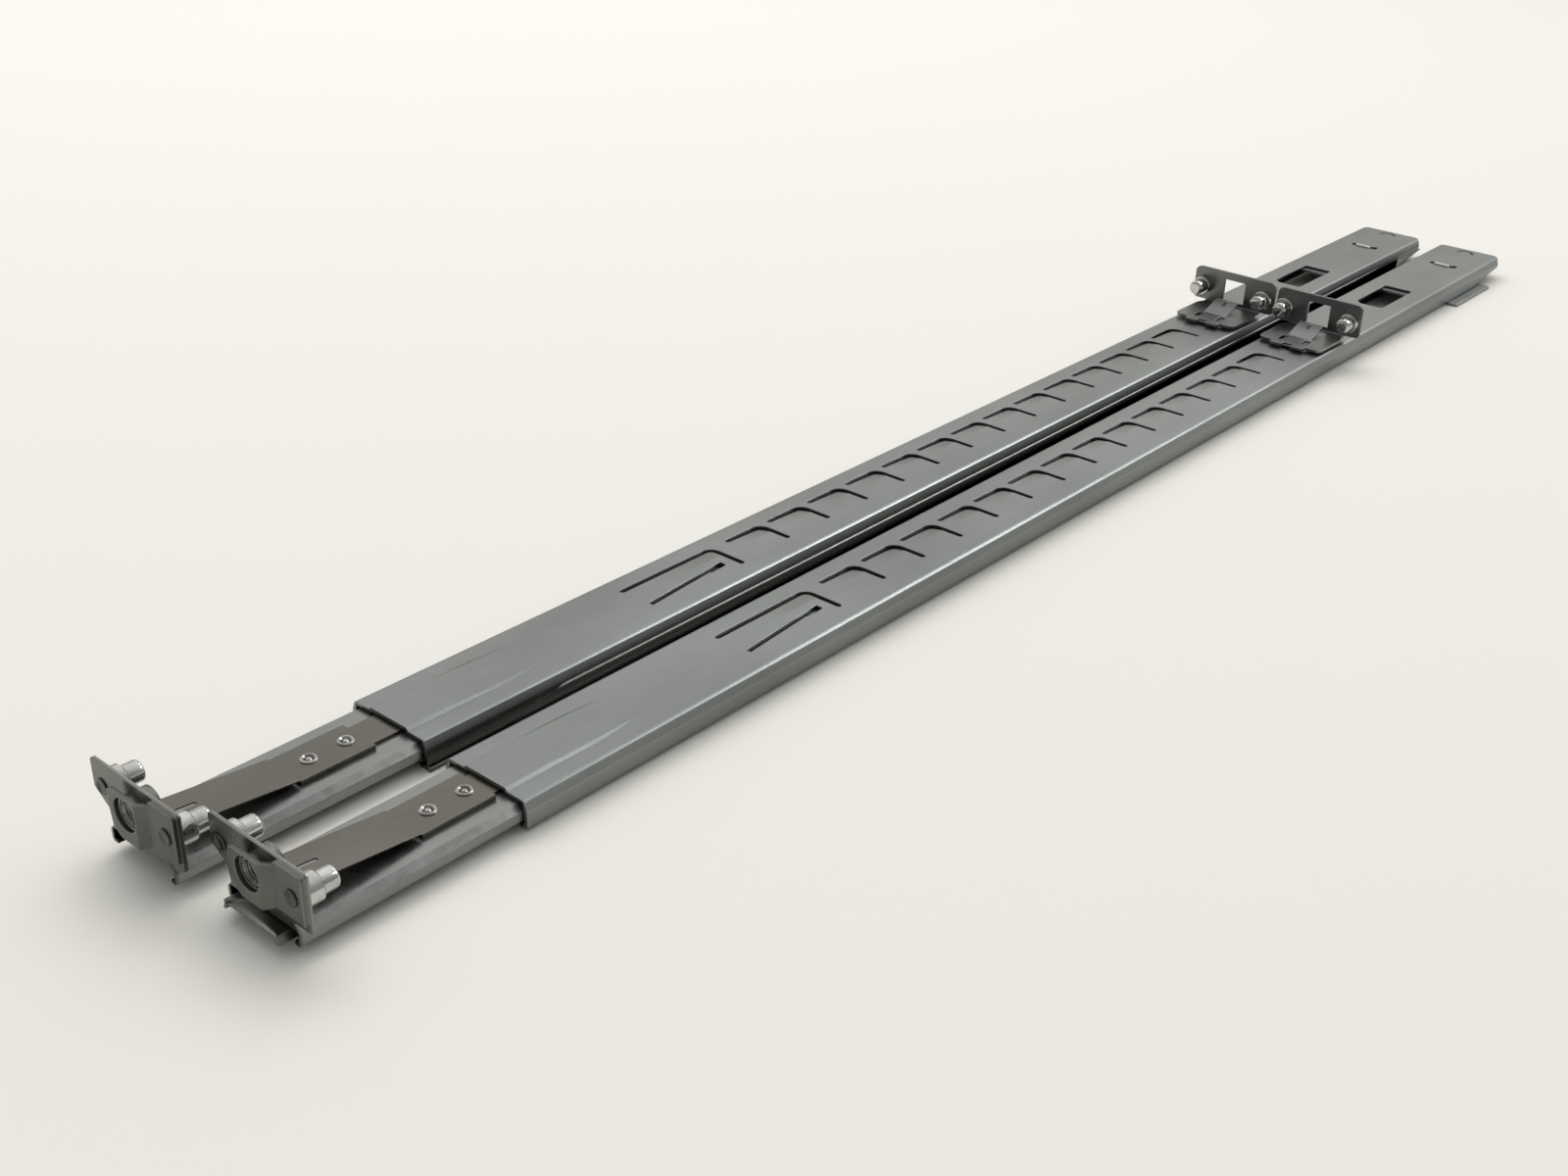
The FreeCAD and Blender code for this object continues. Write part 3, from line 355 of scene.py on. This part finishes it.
class Form:
    """Points and faces of one new piece, in its rail's millimetres."""

    def __init__(self):
        self.points, self.faces, self.known = [], [], {}

    def point(self, spot):
        key = tuple(round(value, 4) for value in spot)
        if key not in self.known:
            self.known[key] = len(self.points)
            self.points.append(Vector(spot))
        return self.known[key]

    def face(self, spots):
        numbers = [self.point(spot) for spot in spots]
        if len(set(numbers)) == len(numbers):
            self.faces.append(numbers)

    def patch(self, outline, holes=(), lift=None):
        """A flat region with holes, in two coordinates that lift turns into a place on the rail."""
        rings = [[Vector((*spot, 0.0)) for spot in ring] for ring in (outline, *holes)]
        flat = [spot for ring in rings for spot in ring]
        for corners in tessellate_polygon(rings):
            self.face([lift(flat[index].x, flat[index].y) for index in corners])

    def turned(self, outline, centre, axis="x", steps=40):
        """A full turn of (along, radius) points about the axis through centre."""
        rings = []
        for along, radius in outline:
            ring = []
            for step in range(steps):
                angle = math.tau * step / steps
                across, up = radius * math.cos(angle), radius * math.sin(angle)
                if axis == "x":
                    ring.append((centre[0] + along, centre[1] + across, centre[2] + up))
                else:
                    ring.append((centre[0] + across, centre[1] + up, centre[2] + along))
            rings.append(ring)
        for first, second in zip(rings, rings[1:]):
            for step in range(steps):
                after = (step + 1) % steps
                quad = [first[step], first[after], second[after], second[step]]
                distinct = []
                for spot in quad:
                    if all((Vector(spot) - Vector(other)).length > 1e-5 for other in distinct):
                        distinct.append(spot)
                if len(distinct) > 2:
                    self.face(distinct)

    def swept(self, section, start, end):
        """A closed (y, z) section run along x; start and end give x for each of its points."""
        front = [(start(y, z), y, z) for y, z in section]
        back = [(end(y, z), y, z) for y, z in section]
        for index in range(len(section)):
            after = (index + 1) % len(section)
            self.face([front[index], front[after], back[after], back[index]])
        for ring in (front, back):
            flat = [Vector((y, z, 0.0)) for x, y, z in ring]
            for corners in tessellate_polygon([flat]):
                self.face([ring[index] for index in corners])

    def piece(self, name, nodes, look, zero, thickness=0.0, width=0.0, stands=True):
        """The finished object, riding the body of the CAD nodes, which it stands for or lies on."""
        mesh = bpy.data.meshes.new(name)
        offset = Vector(zero)
        mesh.from_pydata([(spot + offset) * MM for spot in self.points], [], self.faces)
        mesh.update()
        shaped = bmesh.new()
        shaped.from_mesh(mesh)
        bmesh.ops.recalc_face_normals(shaped, faces=shaped.faces)
        shaped.to_mesh(mesh)
        shaped.free()
        mesh.materials.append(LOOKS[look])
        made = bpy.data.objects.new(name, mesh)
        bpy.context.scene.collection.objects.link(made)
        if thickness:
            solid = made.modifiers.new("sheet", "SOLIDIFY")
            solid.thickness = thickness * MM
            solid.offset = -1.0
            solid.use_even_offset = True
        if width:
            soften_edges(made, width * MM)
        else:
            for polygon in mesh.polygons:
                polygon.use_smooth = True
            mesh.set_sharp_from_angle(angle=math.radians(35))
        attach(made, body_of(frame["nodes"][nodes[0]])[0])
        if stands:
            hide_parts(*nodes)
        return made


def arc(centre, radius, start, end, steps=8):
    return [(centre[0] + radius * math.cos(math.radians(start + (end - start) * step / steps)),
             centre[1] + radius * math.sin(math.radians(start + (end - start) * step / steps)))
            for step in range(steps + 1)]


def ring(centre, radius, steps=36):
    return arc(centre, radius, 0.0, 360.0 * (steps - 1) / steps, steps - 1)


# ---------------------------------------------------------------- the thumbscrew plate and its nut
PIN_HALF, PIN_Z = 15.875, 9.45
FLANGE_BACK, REAR_STUB_TIP = 2.7, 578.8
BRIDGE_X, PLATE_THICK = -1.8, 1.5
NUT_FACE, NUT_END, THREAD_PITCH = -0.6, 6.6, 0.8


def make_plate(side):
    """The plate on the flange's front, joggled forward over the nut."""
    form = Form()
    hole = ring((0.0, PIN_Z), 5.05)
    lobe = [(-5.2, 14.9), (-5.2, 1.0), *arc((1.9, 5.5), 4.5, 270.0, 350.0), (7.3, 11.0),
            *arc((6.3, 13.7), 1.2, 0.0, 90.0, 4)]
    form.patch(lobe, [hole], lambda y, z: (BRIDGE_X, y, z))
    form.face([(BRIDGE_X, -5.2, 14.9), (BRIDGE_X, -5.2, 1.0), (0.0, -8.8, 2.7), (0.0, -8.8, 15.6)])
    wing = [(-8.8, 15.6), (-8.8, 2.7), (-20.2, 2.7), *arc((-19.0, 15.9), 1.2, 180.0, 90.0, 5),
            (-9.6, 17.1)]
    form.patch(wing, [], lambda y, z: (0.0, y, z))
    form.piece(f"{side}_joggled_plate", [f"{side}_thumbscrew_plate"], "flange_steel", DRAWN[side],
               PLATE_THICK, 0.28)


def make_nut(side):
    """The captive nut: a round boss behind the plate's hole, with a threaded bore."""
    form = Form()
    face, end = NUT_FACE, NUT_END
    outline = [(end, 2.6), (end, 5.0), (0.1, 5.0), (0.1, 4.3), (face + 0.25, 4.3), (face, 4.05),
               (face, 3.4), (face + THREAD_PITCH, 2.65)]
    along = face + THREAD_PITCH
    while along < end - THREAD_PITCH:
        outline += [(along + THREAD_PITCH / 2, 2.95), (along + THREAD_PITCH, 2.6)]
        along += THREAD_PITCH
    outline.append((end, 2.6))
    form.turned(outline, (0.0, 0.0, PIN_Z))
    form.piece(f"{side}_captive_nut", [f"{side}_thumbscrew_nut"], "nut_steel", DRAWN[side])


# ---------------------------------------------------------------- rack pins
def pin_outline(face, way):
    """A rack pin on the plate's face, growing in the direction way."""
    return [
        (face - 0.2 * way, 0.0), (face - 0.2 * way, 4.1), (face, 4.3), (face + 4.2 * way, 4.3),
        (face + 4.5 * way, 4.0), (face + 4.5 * way, 2.8), (face + 4.9 * way, 2.8),
        (face + 4.95 * way, 3.1), (face + 5.1 * way, 3.25), (face + 9.0 * way, 3.25),
        (face + 9.5 * way, 3.1), (face + 9.9 * way, 2.7), (face + 10.1 * way, 2.1),
        (face + 10.1 * way, 0.0),
    ]


def stub_outline(tip, way):
    """The dished riveted end of a pin on the plate's other face."""
    return [(tip + 0.35 * way, 0.0), (tip + 0.3 * way, 1.5), (tip, 2.1), (tip + 0.12 * way, 2.5),
            (tip + 1.2 * way, 2.5), (tip + 1.2 * way, 0.0)]


def make_pins(side):
    front, rear, ends, rear_ends = Form(), Form(), Form(), Form()
    for y, tip in ((-PIN_HALF, -0.5), (PIN_HALF, 1.0)):
        front.turned(pin_outline(FLANGE_BACK, 1.0), (0.0, y, PIN_Z))
        rear.turned(pin_outline(PLATE_X, -1.0), (0.0, y, PIN_Z))
        ends.turned(stub_outline(tip, 1.0), (0.0, y, PIN_Z), steps=28)
        rear_ends.turned(stub_outline(REAR_STUB_TIP, -1.0), (0.0, y, PIN_Z), steps=28)
    front.piece(f"{side}_front_rack_pins", [f"{side}_front_pins"], "bright_steel", DRAWN[side])
    rear.piece(f"{side}_rear_rack_pins", [f"{side}_rear_pins"], "bright_steel", FIXED[side])
    ends.piece(f"{side}_front_pin_ends", [f"{side}_front_pins"], "stub_steel", DRAWN[side],
               stands=False)
    rear_ends.piece(f"{side}_rear_pin_ends", [f"{side}_rear_pins"], "stub_steel", FIXED[side],
                    stands=False)


# ---------------------------------------------------------------- dimpled rivets
def make_rivets(side):
    """Low rivet heads: a bright rim round a well painted dark as shade, with a small dome in its middle.
    """
    for name, spots, top, zero in (
            ("front_latch_rivets", [(54.1, 0.0), (66.8, 0.0)], -0.1, DRAWN[side]),
            ("rear_bracket_rivets", [(552.6, -9.8), (552.6, 9.8)], 1.2, FIXED[side])):
        rims, wells = Form(), Form()
        for x, y in spots:
            centre = (x, y, 0.0)
            rims.turned([(top - 0.1, 2.7), (top + 0.25, 2.65), (top + 0.5, 2.3), (top + 0.5, 1.9),
                         (top + 0.1, 1.5)], centre, "z")
            rims.turned([(top + 0.05, 1.0), (top + 0.3, 0.75), (top + 0.4, 0.0)], centre, "z", 24)
            wells.turned([(top + 0.12, 1.55), (top + 0.03, 1.25), (top + 0.06, 0.95)], centre, "z")
        rims.piece(f"{side}_{name}_rims", [f"{side}_{name}"], "rivet_steel", zero)
        wells.piece(f"{side}_{name}_wells", [f"{side}_{name}"], "well_shade_steel", zero, stands=False)


# ---------------------------------------------------------------- the slotted sleeve
SLEEVE_FRONT, SLEEVE_END, SLEEVE_FLAT, SLOT_WIDTH = 74.2, 755.0, 14.9, 2.15
BAND_END, TAIL_START, CELL_LEAD, SHEET = 128.0, 700.0, 2.1, 1.2
TAPER_X, TAIL_CUT = 723.0, 2.6
SIDE_WALL = [(14.9, 0.0), (15.5, -0.15), (15.95, -0.6), (16.15, -1.2), (16.9, -3.1), (17.0, -3.6)]
LOW_WALL = [(17.0, -3.6), (17.0, -8.1), (16.8, -8.6), (16.3, -8.8), (13.4, -8.8)]


def l_slot(start, length, near, far=8.5, bend=4.6):
    """An L-shaped cut: a leg along the rail at y = far that turns and crosses it to y = -near."""
    end, half = start + length, SLOT_WIDTH / 2
    middle = (end - bend, far - bend)
    return [*arc(middle, bend, 0.0, 90.0), *arc((start, far - half), half, 90.0, 270.0, 6),
            *arc(middle, bend - SLOT_WIDTH, 90.0, 0.0),
            *arc((end - half, -near), half, 180.0, 360.0, 6)]


def tail_end(y):
    """Where the sleeve ends at that distance from its middle, with its corners cut."""
    return SLEEVE_END if abs(y) <= 13.4 else SLEEVE_END - TAIL_CUT * (abs(y) - 13.4) / 3.6


def press_tab(form, start, length=18.0, near=5.4, far=8.5, bend=4.6, depth=0.5,
              columns=14, rows=5):
    """The tab inside one L-shaped cut, bent down towards the corner.  Returns the hole round the cut
    and the tab, which the flat of the sleeve is made with."""
    end, half = start + length, SLOT_WIDTH / 2
    side_x, top_y, radius = end - SLOT_WIDTH, far - SLOT_WIDTH, bend - SLOT_WIDTH

    def spot(column, row):
        share = math.sin(math.pi / 2 * column / columns)
        x = start + (side_x - start) * share
        over = max(x - (end - bend), 0.0)
        curve = far - bend + math.sqrt(max(radius ** 2 - over ** 2, 0.0))
        high = top_y if over <= 0 else curve
        lift = row / rows
        fall = share * share * (3 - 2 * share)
        return x, CREASE_Y + (high - CREASE_Y) * lift, -depth * fall * lift

    for column in range(columns):
        for row in range(rows):
            form.face([spot(column, row), spot(column + 1, row),
                       spot(column + 1, row + 1), spot(column, row + 1)])
    crease = [spot(column, 0)[:2] for column in range(columns, -1, -1)]
    root = [spot(0, row)[:2] for row in range(1, rows + 1)]
    return [*arc((end - bend, far - bend), bend, 0.0, 90.0),
            *arc((start, far - half), half, 90.0, 270.0, 6)[:-1],
            *reversed(root), *reversed(crease), *arc((end - half, -near), half, 180.0, 360.0, 6)]


def make_sleeve(side):
    """The folded sleeve with its raised front band, L-shaped cuts, long tongue, window and tail cuts."""
    form = Form()
    flat = SLEEVE_FLAT
    cells = [(SLEEVE_FRONT, BAND_END, [])]
    cells.append((BAND_END, FIRST_TAB - CELL_LEAD, [
        l_slot(TONGUE_START, 43.8, 7.0),
        [(177.0, -6.6), (206.6, -4.2), (207.2, -5.1), (214.4, -4.5), (214.8, -4.1),
         (214.8, -1.6), (177.0, -4.6)]]))
    for step in range(TAB_COUNT):
        start = FIRST_TAB + TAB_PITCH * step
        cells.append((start - CELL_LEAD, start - CELL_LEAD + TAB_PITCH, [press_tab(form, start)]))
    cells.append((FIRST_TAB - CELL_LEAD + TAB_PITCH * TAB_COUNT, TAIL_START, [
        [(632.0, 4.0), (632.0, -6.2), (632.8, -7.0), (666.2, -7.0),
         (667.0, -6.2), (667.0, 6.2), (666.2, 7.0), (635.0, 7.0)]]))
    for start, end, cuts in cells:
        outline = [(start, -flat), (end, -flat), (end, flat), (start, flat)]
        if start == SLEEVE_FRONT:
            outline = [(start, -9.0), (112.0, -9.0), (126.0, -7.5), (126.0, 7.5), (112.0, 9.0),
                       (start, 9.0), (start, flat), (end, flat), (end, -flat), (start, -flat)]
        form.patch(outline, cuts, lambda x, y: (x, y, 0.0))
    tail = [(TAIL_START, -flat), (tail_end(flat), -flat), (SLEEVE_END, -13.4), (SLEEVE_END, 13.4),
            (tail_end(flat), flat), (TAIL_START, flat)]
    form.patch(tail, [
        [(718.6, -6.6), (718.9, -6.9), (722.5, -6.9), (722.8, -6.6),
         (722.8, 6.6), (722.5, 6.9), (718.9, 6.9), (718.6, 6.6)],
        [*arc((748.0, 0.0), 4.6, -95.0, 95.0, 14), *arc((748.0, 0.0), 3.1, 95.0, -95.0, 14)]],
        lambda x, y: (x, y, 0.0))
    form.face([(SLEEVE_FRONT, -8.0, 0.9), (92.0, -8.0, 0.9), (92.0, 8.0, 0.9), (SLEEVE_FRONT, 8.0, 0.9)])
    form.face([(92.0, -8.0, 0.9), (126.0, -7.5, 0.0), (126.0, 7.5, 0.0), (92.0, 8.0, 0.9)])
    stations = sorted({TAIL_START, *(start for start, end, cuts in cells)})
    spans = list(zip(stations, [*stations[1:], None]))
    for way in (1.0, -1.0):
        form.face([(SLEEVE_FRONT, 9.0 * way, 0.0), (112.0, 9.0 * way, 0.0), (92.0, 8.0 * way, 0.9),
                   (SLEEVE_FRONT, 8.0 * way, 0.9)])
        form.face([(112.0, 9.0 * way, 0.0), (126.0, 7.5 * way, 0.0), (92.0, 8.0 * way, 0.9)])
        for (y0, z0), (y1, z1) in zip(SIDE_WALL, SIDE_WALL[1:]):
            for start, end in spans:
                form.face([(start, y0 * way, z0), (end or tail_end(y0), y0 * way, z0),
                           (end or tail_end(y1), y1 * way, z1), (start, y1 * way, z1)])
        for (y0, z0), (y1, z1) in zip(LOW_WALL, LOW_WALL[1:]):
            form.face([(SLEEVE_FRONT, y0 * way, z0), (TAPER_X, y0 * way, z0),
                       (TAPER_X, y1 * way, z1), (SLEEVE_FRONT, y1 * way, z1)])
        form.face([(TAPER_X, 17.0 * way, -3.6), (tail_end(17.0), 17.0 * way, -3.6),
                   (tail_end(17.0), 17.0 * way, -4.6), (TAPER_X, 17.0 * way, -8.1)])
    form.piece(f"{side}_slotted_sleeve", [f"{side}_sleeve"], f"{side}_sleeve", FIXED[side],
               SHEET, 0.16)
    # painted highlight: the lug on the cable-arm bracket has a pale, bright look for the light on its
    # edge
    lug = Form()
    lug.patch([(-3.9, -1.2), (3.9, -1.2), (3.9, 0.6), (3.6, 0.9), (-3.6, 0.9), (-3.9, 0.6)], [],
              lambda y, z: (719.2, y, z))
    lug.piece(f"{side}_arm_lug", [f"{side}_cable_arm_bracket"], "lug_highlight_steel", FIXED[side],
              SHEET, 0.15, stands=False)


# ---------------------------------------------------------------- the intermediate member
RUNNER_END = 495.5
UPPER = [(11.1, -3.5), (11.1, -5.1), (11.7, -6.1), (11.7, -6.3), (10.7, -6.3), (10.1, -5.4), (10.1, -4.5)]
WHOLE = [(11.1, -3.5), (11.1, -5.1), (11.7, -6.1), (11.7, -9.3), (11.0, -10.0), (9.4, -10.0),
         (9.4, -9.0), (10.7, -9.0), (10.7, -6.4), (10.1, -5.4), (10.1, -4.5)]
NOSE_START = {"right": 0.0, "left": 10.0}


def section(half, steps=20):
    """The half section closed with its mirror image, with the web cut fine enough for the notch."""
    top = [(half[0][0] * (1 - 2 * step / steps), half[0][1]) for step in range(1, steps)]
    under = [(half[-1][0] * (2 * step / steps - 1), half[-1][1]) for step in range(1, steps)]
    return list(reversed(half)) + top + [(-y, z) for y, z in half] + under


def make_runner(side):
    """The grooved inner rail, whose nose has a round notch in its web and cut-away lower walls."""
    shift = NOSE_START[side]

    def nose(y, z):
        if abs(y) >= 9.5:
            return shift - 2.6 if abs(y) > 9.9 else shift - 1.6
        return shift - 1.0 + math.sqrt(13.3 ** 2 - y * y) - math.sqrt(13.3 ** 2 - 9.5 ** 2)

    def shoulder(y, z):
        return shift + 12.0 + 4.0 * min(max((-6.2 - z) / 3.8, 0.0), 1.0)

    form = Form()
    form.swept(section(UPPER), nose, lambda y, z: shift + 12.0)
    form.swept(section(WHOLE), shoulder, lambda y, z: RUNNER_END)
    form.piece(f"{side}_notched_member", [f"{side}_intermediate_member"], "shade_painted_zinc", DRAWN[side])


# ---------------------------------------------------------------- rear bracket
FOOT_TOP, FOOT_FRONT, FOOT_HALF, BEND_HALF = 1.2, 548.8, 15.2, 13.8
PLATE_X, PLATE_HALF, PLATE_TOP, BEND = 577.1, 21.0, 17.9, 0.8


def make_bracket(side):
    """The rear angle: foot with two lips and two notches, bend, and the upright with its window."""
    form = Form()
    front = FOOT_FRONT
    foot = [(front, -8.1), (front - 2.8, -8.1), (front - 2.8, -2.3), (front, -2.3), (front, 2.3),
            (front - 2.8, 2.3), (front - 2.8, 8.1), (front, 8.1),
            *arc((front + 3.0, FOOT_HALF - 3.0), 3.0, 180.0, 90.0, 6),
            (570.0, FOOT_HALF), (573.0, BEND_HALF),
            (PLATE_X - BEND, BEND_HALF), (PLATE_X - BEND, -BEND_HALF),
            (573.0, -BEND_HALF), (570.0, -FOOT_HALF),
            *arc((front + 3.0, -FOOT_HALF + 3.0), 3.0, 270.0, 180.0, 6)]
    notches = [[(551.6, near), (557.6, near), (557.6, far), (551.6, far)]
               for near, far in ((4.2, 7.0), (-7.0, -4.2))]
    form.patch(foot, notches, lambda x, y: (x, y, FOOT_TOP))
    turn = [(PLATE_X - BEND + BEND * math.sin(angle), FOOT_TOP + BEND - BEND * math.cos(angle))
            for angle in (math.radians(15.0 * step) for step in range(7))]
    for (x0, z0), (x1, z1) in zip(turn, turn[1:]):
        form.face([(x0, -BEND_HALF, z0), (x0, BEND_HALF, z0),
                   (x1, BEND_HALF, z1), (x1, -BEND_HALF, z1)])
    low = FOOT_TOP + BEND
    upright = [(-BEND_HALF, low), (BEND_HALF, low), (BEND_HALF + 0.6, low + 0.5), (19.6, 2.6),
               (PLATE_HALF, 3.6),
               *arc((PLATE_HALF - 2.8, PLATE_TOP - 2.8), 2.8, 0.0, 90.0, 6),
               *arc((-PLATE_HALF + 2.8, PLATE_TOP - 2.8), 2.8, 90.0, 180.0, 6),
               (-PLATE_HALF, 3.6),
               (-19.6, 2.6), (-BEND_HALF - 0.6, low + 0.5)]
    window = [(-5.4, 4.2), (5.4, 4.2), (5.4, 14.4), (-5.4, 14.4)]
    form.patch(upright, [window], lambda y, z: (PLATE_X, y, z))
    form.piece(f"{side}_rear_angle", [f"{side}_rear_bracket"], "bracket_zinc", FIXED[side],
               SHEET, 0.22)


# ---------------------------------------------------------------- spring leaves
LEAF_ROOT, LEAF_TIP, LEAF_SHEET, LEAF_RISE, LEAF_SEAT = 45.85, 10.0, 0.5, 3.6, -0.6


def leaf_plan(root, tip, half, corner):
    """A strip's outline from its straight root to its tip with rounded corners."""
    way = 1.0 if tip > root else -1.0
    ends = [(tip - way * corner * (1 - math.sin(angle)), half - corner * (1 - math.cos(angle)))
            for angle in map(math.radians, (0.0, 22.5, 45.0, 67.5, 90.0))]
    return [(root, -half), (root, half), *ends, *[(x, -y) for x, y in reversed(ends)]]


def leaf_slot(start, end, half=0.8):
    return [*arc((start + half, 0.0), half, 270.0, 90.0, 6),
            *arc((end - half, 0.0), half, 90.0, -90.0, 6)]


def make_leaf(side):
    """The front spring leaf's free end, with rounded tip corners and its slot."""
    form = Form()
    form.patch(leaf_plan(LEAF_ROOT, LEAF_TIP, 7.7, 1.6), [leaf_slot(11.6, 18.6)],
               lambda x, y: (x, y, LEAF_SEAT + LEAF_SHEET
                             + LEAF_RISE * (LEAF_ROOT - x) / (LEAF_ROOT - LEAF_TIP)))
    form.piece(f"{side}_front_leaf", [f"{side}_front_latch_blade"], "spring_steel", DRAWN[side],
               LEAF_SHEET, 0.07)


for side in SIDES:
    make_plate(side)
    make_nut(side)
    make_pins(side)
    make_runner(side)
    make_rivets(side)
    make_sleeve(side)
    make_bracket(side)
    make_leaf(side)

# The round on the sharp edges of the CAD's own pieces, in mm.
SOFT_EDGES = {"cabinet_member": 0.22, "front_latch_backing": 0.1, "front_latch_root": 0.08,
              "rear_latch_root": 0.08, "rear_latch_blade": 0.08, "cable_arm_bracket": 0.16}
for side in SIDES:
    for name, width in SOFT_EDGES.items():
        soften_edges(frame["nodes"][f"{side}_{name}"], width * MM)


# ---------------------------------------------------------------- floor, light and camera
FLOOR_COLOUR = (0.90, 0.885, 0.84)
SKY_COLOUR = (1.0, 0.995, 0.965, 1.0)
SKY_TOWARD = (0.68, 0.56, 0.47)


def plain(name, colour, roughness):
    material = bpy.data.materials.new(name)
    material.use_nodes = True
    surface = material.node_tree.nodes["Principled BSDF"]
    surface.inputs["Base Color"].default_value = (*colour, 1.0)
    surface.inputs["Roughness"].default_value = roughness
    return material


def floor_sheet():
    """One pale sheet that runs flat under the pair and sweeps up far behind it."""
    reach, back, rise, steps = 1.6, 2.2, 1.8, 24
    profile = [(-reach * 2, 0.0), (back, 0.0)]
    for step in range(1, steps + 1):
        turn = math.radians(80.0 * step / steps)
        profile.append((back + rise * math.sin(turn), rise * (1 - math.cos(turn))))
    spin = math.radians(40.0)
    points, faces = [], []
    for along, up in profile:
        for across in (-reach * 3, reach * 3):
            points.append((along * math.cos(spin) - across * math.sin(spin),
                           along * math.sin(spin) + across * math.cos(spin), up))
    for row in range(len(profile) - 1):
        faces.append((row * 2, row * 2 + 1, row * 2 + 3, row * 2 + 2))
    mesh = bpy.data.meshes.new("floor")
    mesh.from_pydata(points, [], faces)
    for polygon in mesh.polygons:
        polygon.use_smooth = True
    mesh.materials.append(plain("floor_sheet", FLOOR_COLOUR, 0.85))
    sheet = bpy.data.objects.new("floor", mesh)
    sheet.location.z = -0.05 * MM
    bpy.context.scene.collection.objects.link(sheet)


def lamp(name, place, target, width, height, power, glossy=True, diffuse=True):
    data = bpy.data.lights.new(name, "AREA")
    data.shape = "RECTANGLE"
    data.size = width
    data.size_y = height
    data.energy = power
    made = bpy.data.objects.new(name, data)
    made.location = place
    made.visible_glossy = glossy
    made.visible_diffuse = diffuse
    made.rotation_euler = (Vector(target) - Vector(place)).to_track_quat("-Z", "Y").to_euler()
    bpy.context.scene.collection.objects.link(made)


floor_sheet()
lamp("ceiling", (0.7, 1.2, 1.9), (0.1, 0.0, 0.0), 2.4, 1.4, 24.5, glossy=False)
lamp("shoulder", (1.75, -0.95, 1.45), (0.0, 0.0, 0.0), 0.95, 0.7, 19.0, diffuse=False)
lamp("glint", (1.3, 0.25, 1.45), (0.0, 0.0, 0.0), 0.28, 0.28, 4.5, diffuse=False)

world = bpy.data.worlds.new("studio")
bpy.context.scene.world = world
world.use_nodes = True
sky = world.node_tree.nodes["Background"]
sky.inputs["Color"].default_value = SKY_COLOUR
toward = world.node_tree.nodes.new("ShaderNodeVectorMath")
toward.operation = "DOT_PRODUCT"
toward.inputs[1].default_value = SKY_TOWARD
spot = world.node_tree.nodes.new("ShaderNodeTexCoord")
world.node_tree.links.new(spot.outputs["Generated"], toward.inputs[0])
fade = world.node_tree.nodes.new("ShaderNodeMapRange")
for key, number in (("From Min", 0.1), ("From Max", 0.85), ("To Min", 0.38), ("To Max", 1.12)):
    fade.inputs[key].default_value = number
world.node_tree.links.new(toward.outputs["Value"], fade.inputs["Value"])
world.node_tree.links.new(fade.outputs["Result"], sky.inputs["Strength"])

CAMERA_PLACE = (-0.5659, -0.35346, 0.29399)
CAMERA_TURN = (62.091, -1.365, -49.116)
CAMERA_LENS = 41.77
camera_data = bpy.data.cameras.new("camera")
camera_data.lens = CAMERA_LENS
camera_data.sensor_width = 36.0
camera_data.clip_start = 0.01
camera = bpy.data.objects.new("camera", camera_data)
camera.location = CAMERA_PLACE
camera.rotation_euler = [math.radians(angle) for angle in CAMERA_TURN]
bpy.context.scene.collection.objects.link(camera)
bpy.context.scene.camera = camera
bpy.context.scene.view_settings.view_transform = "Standard"
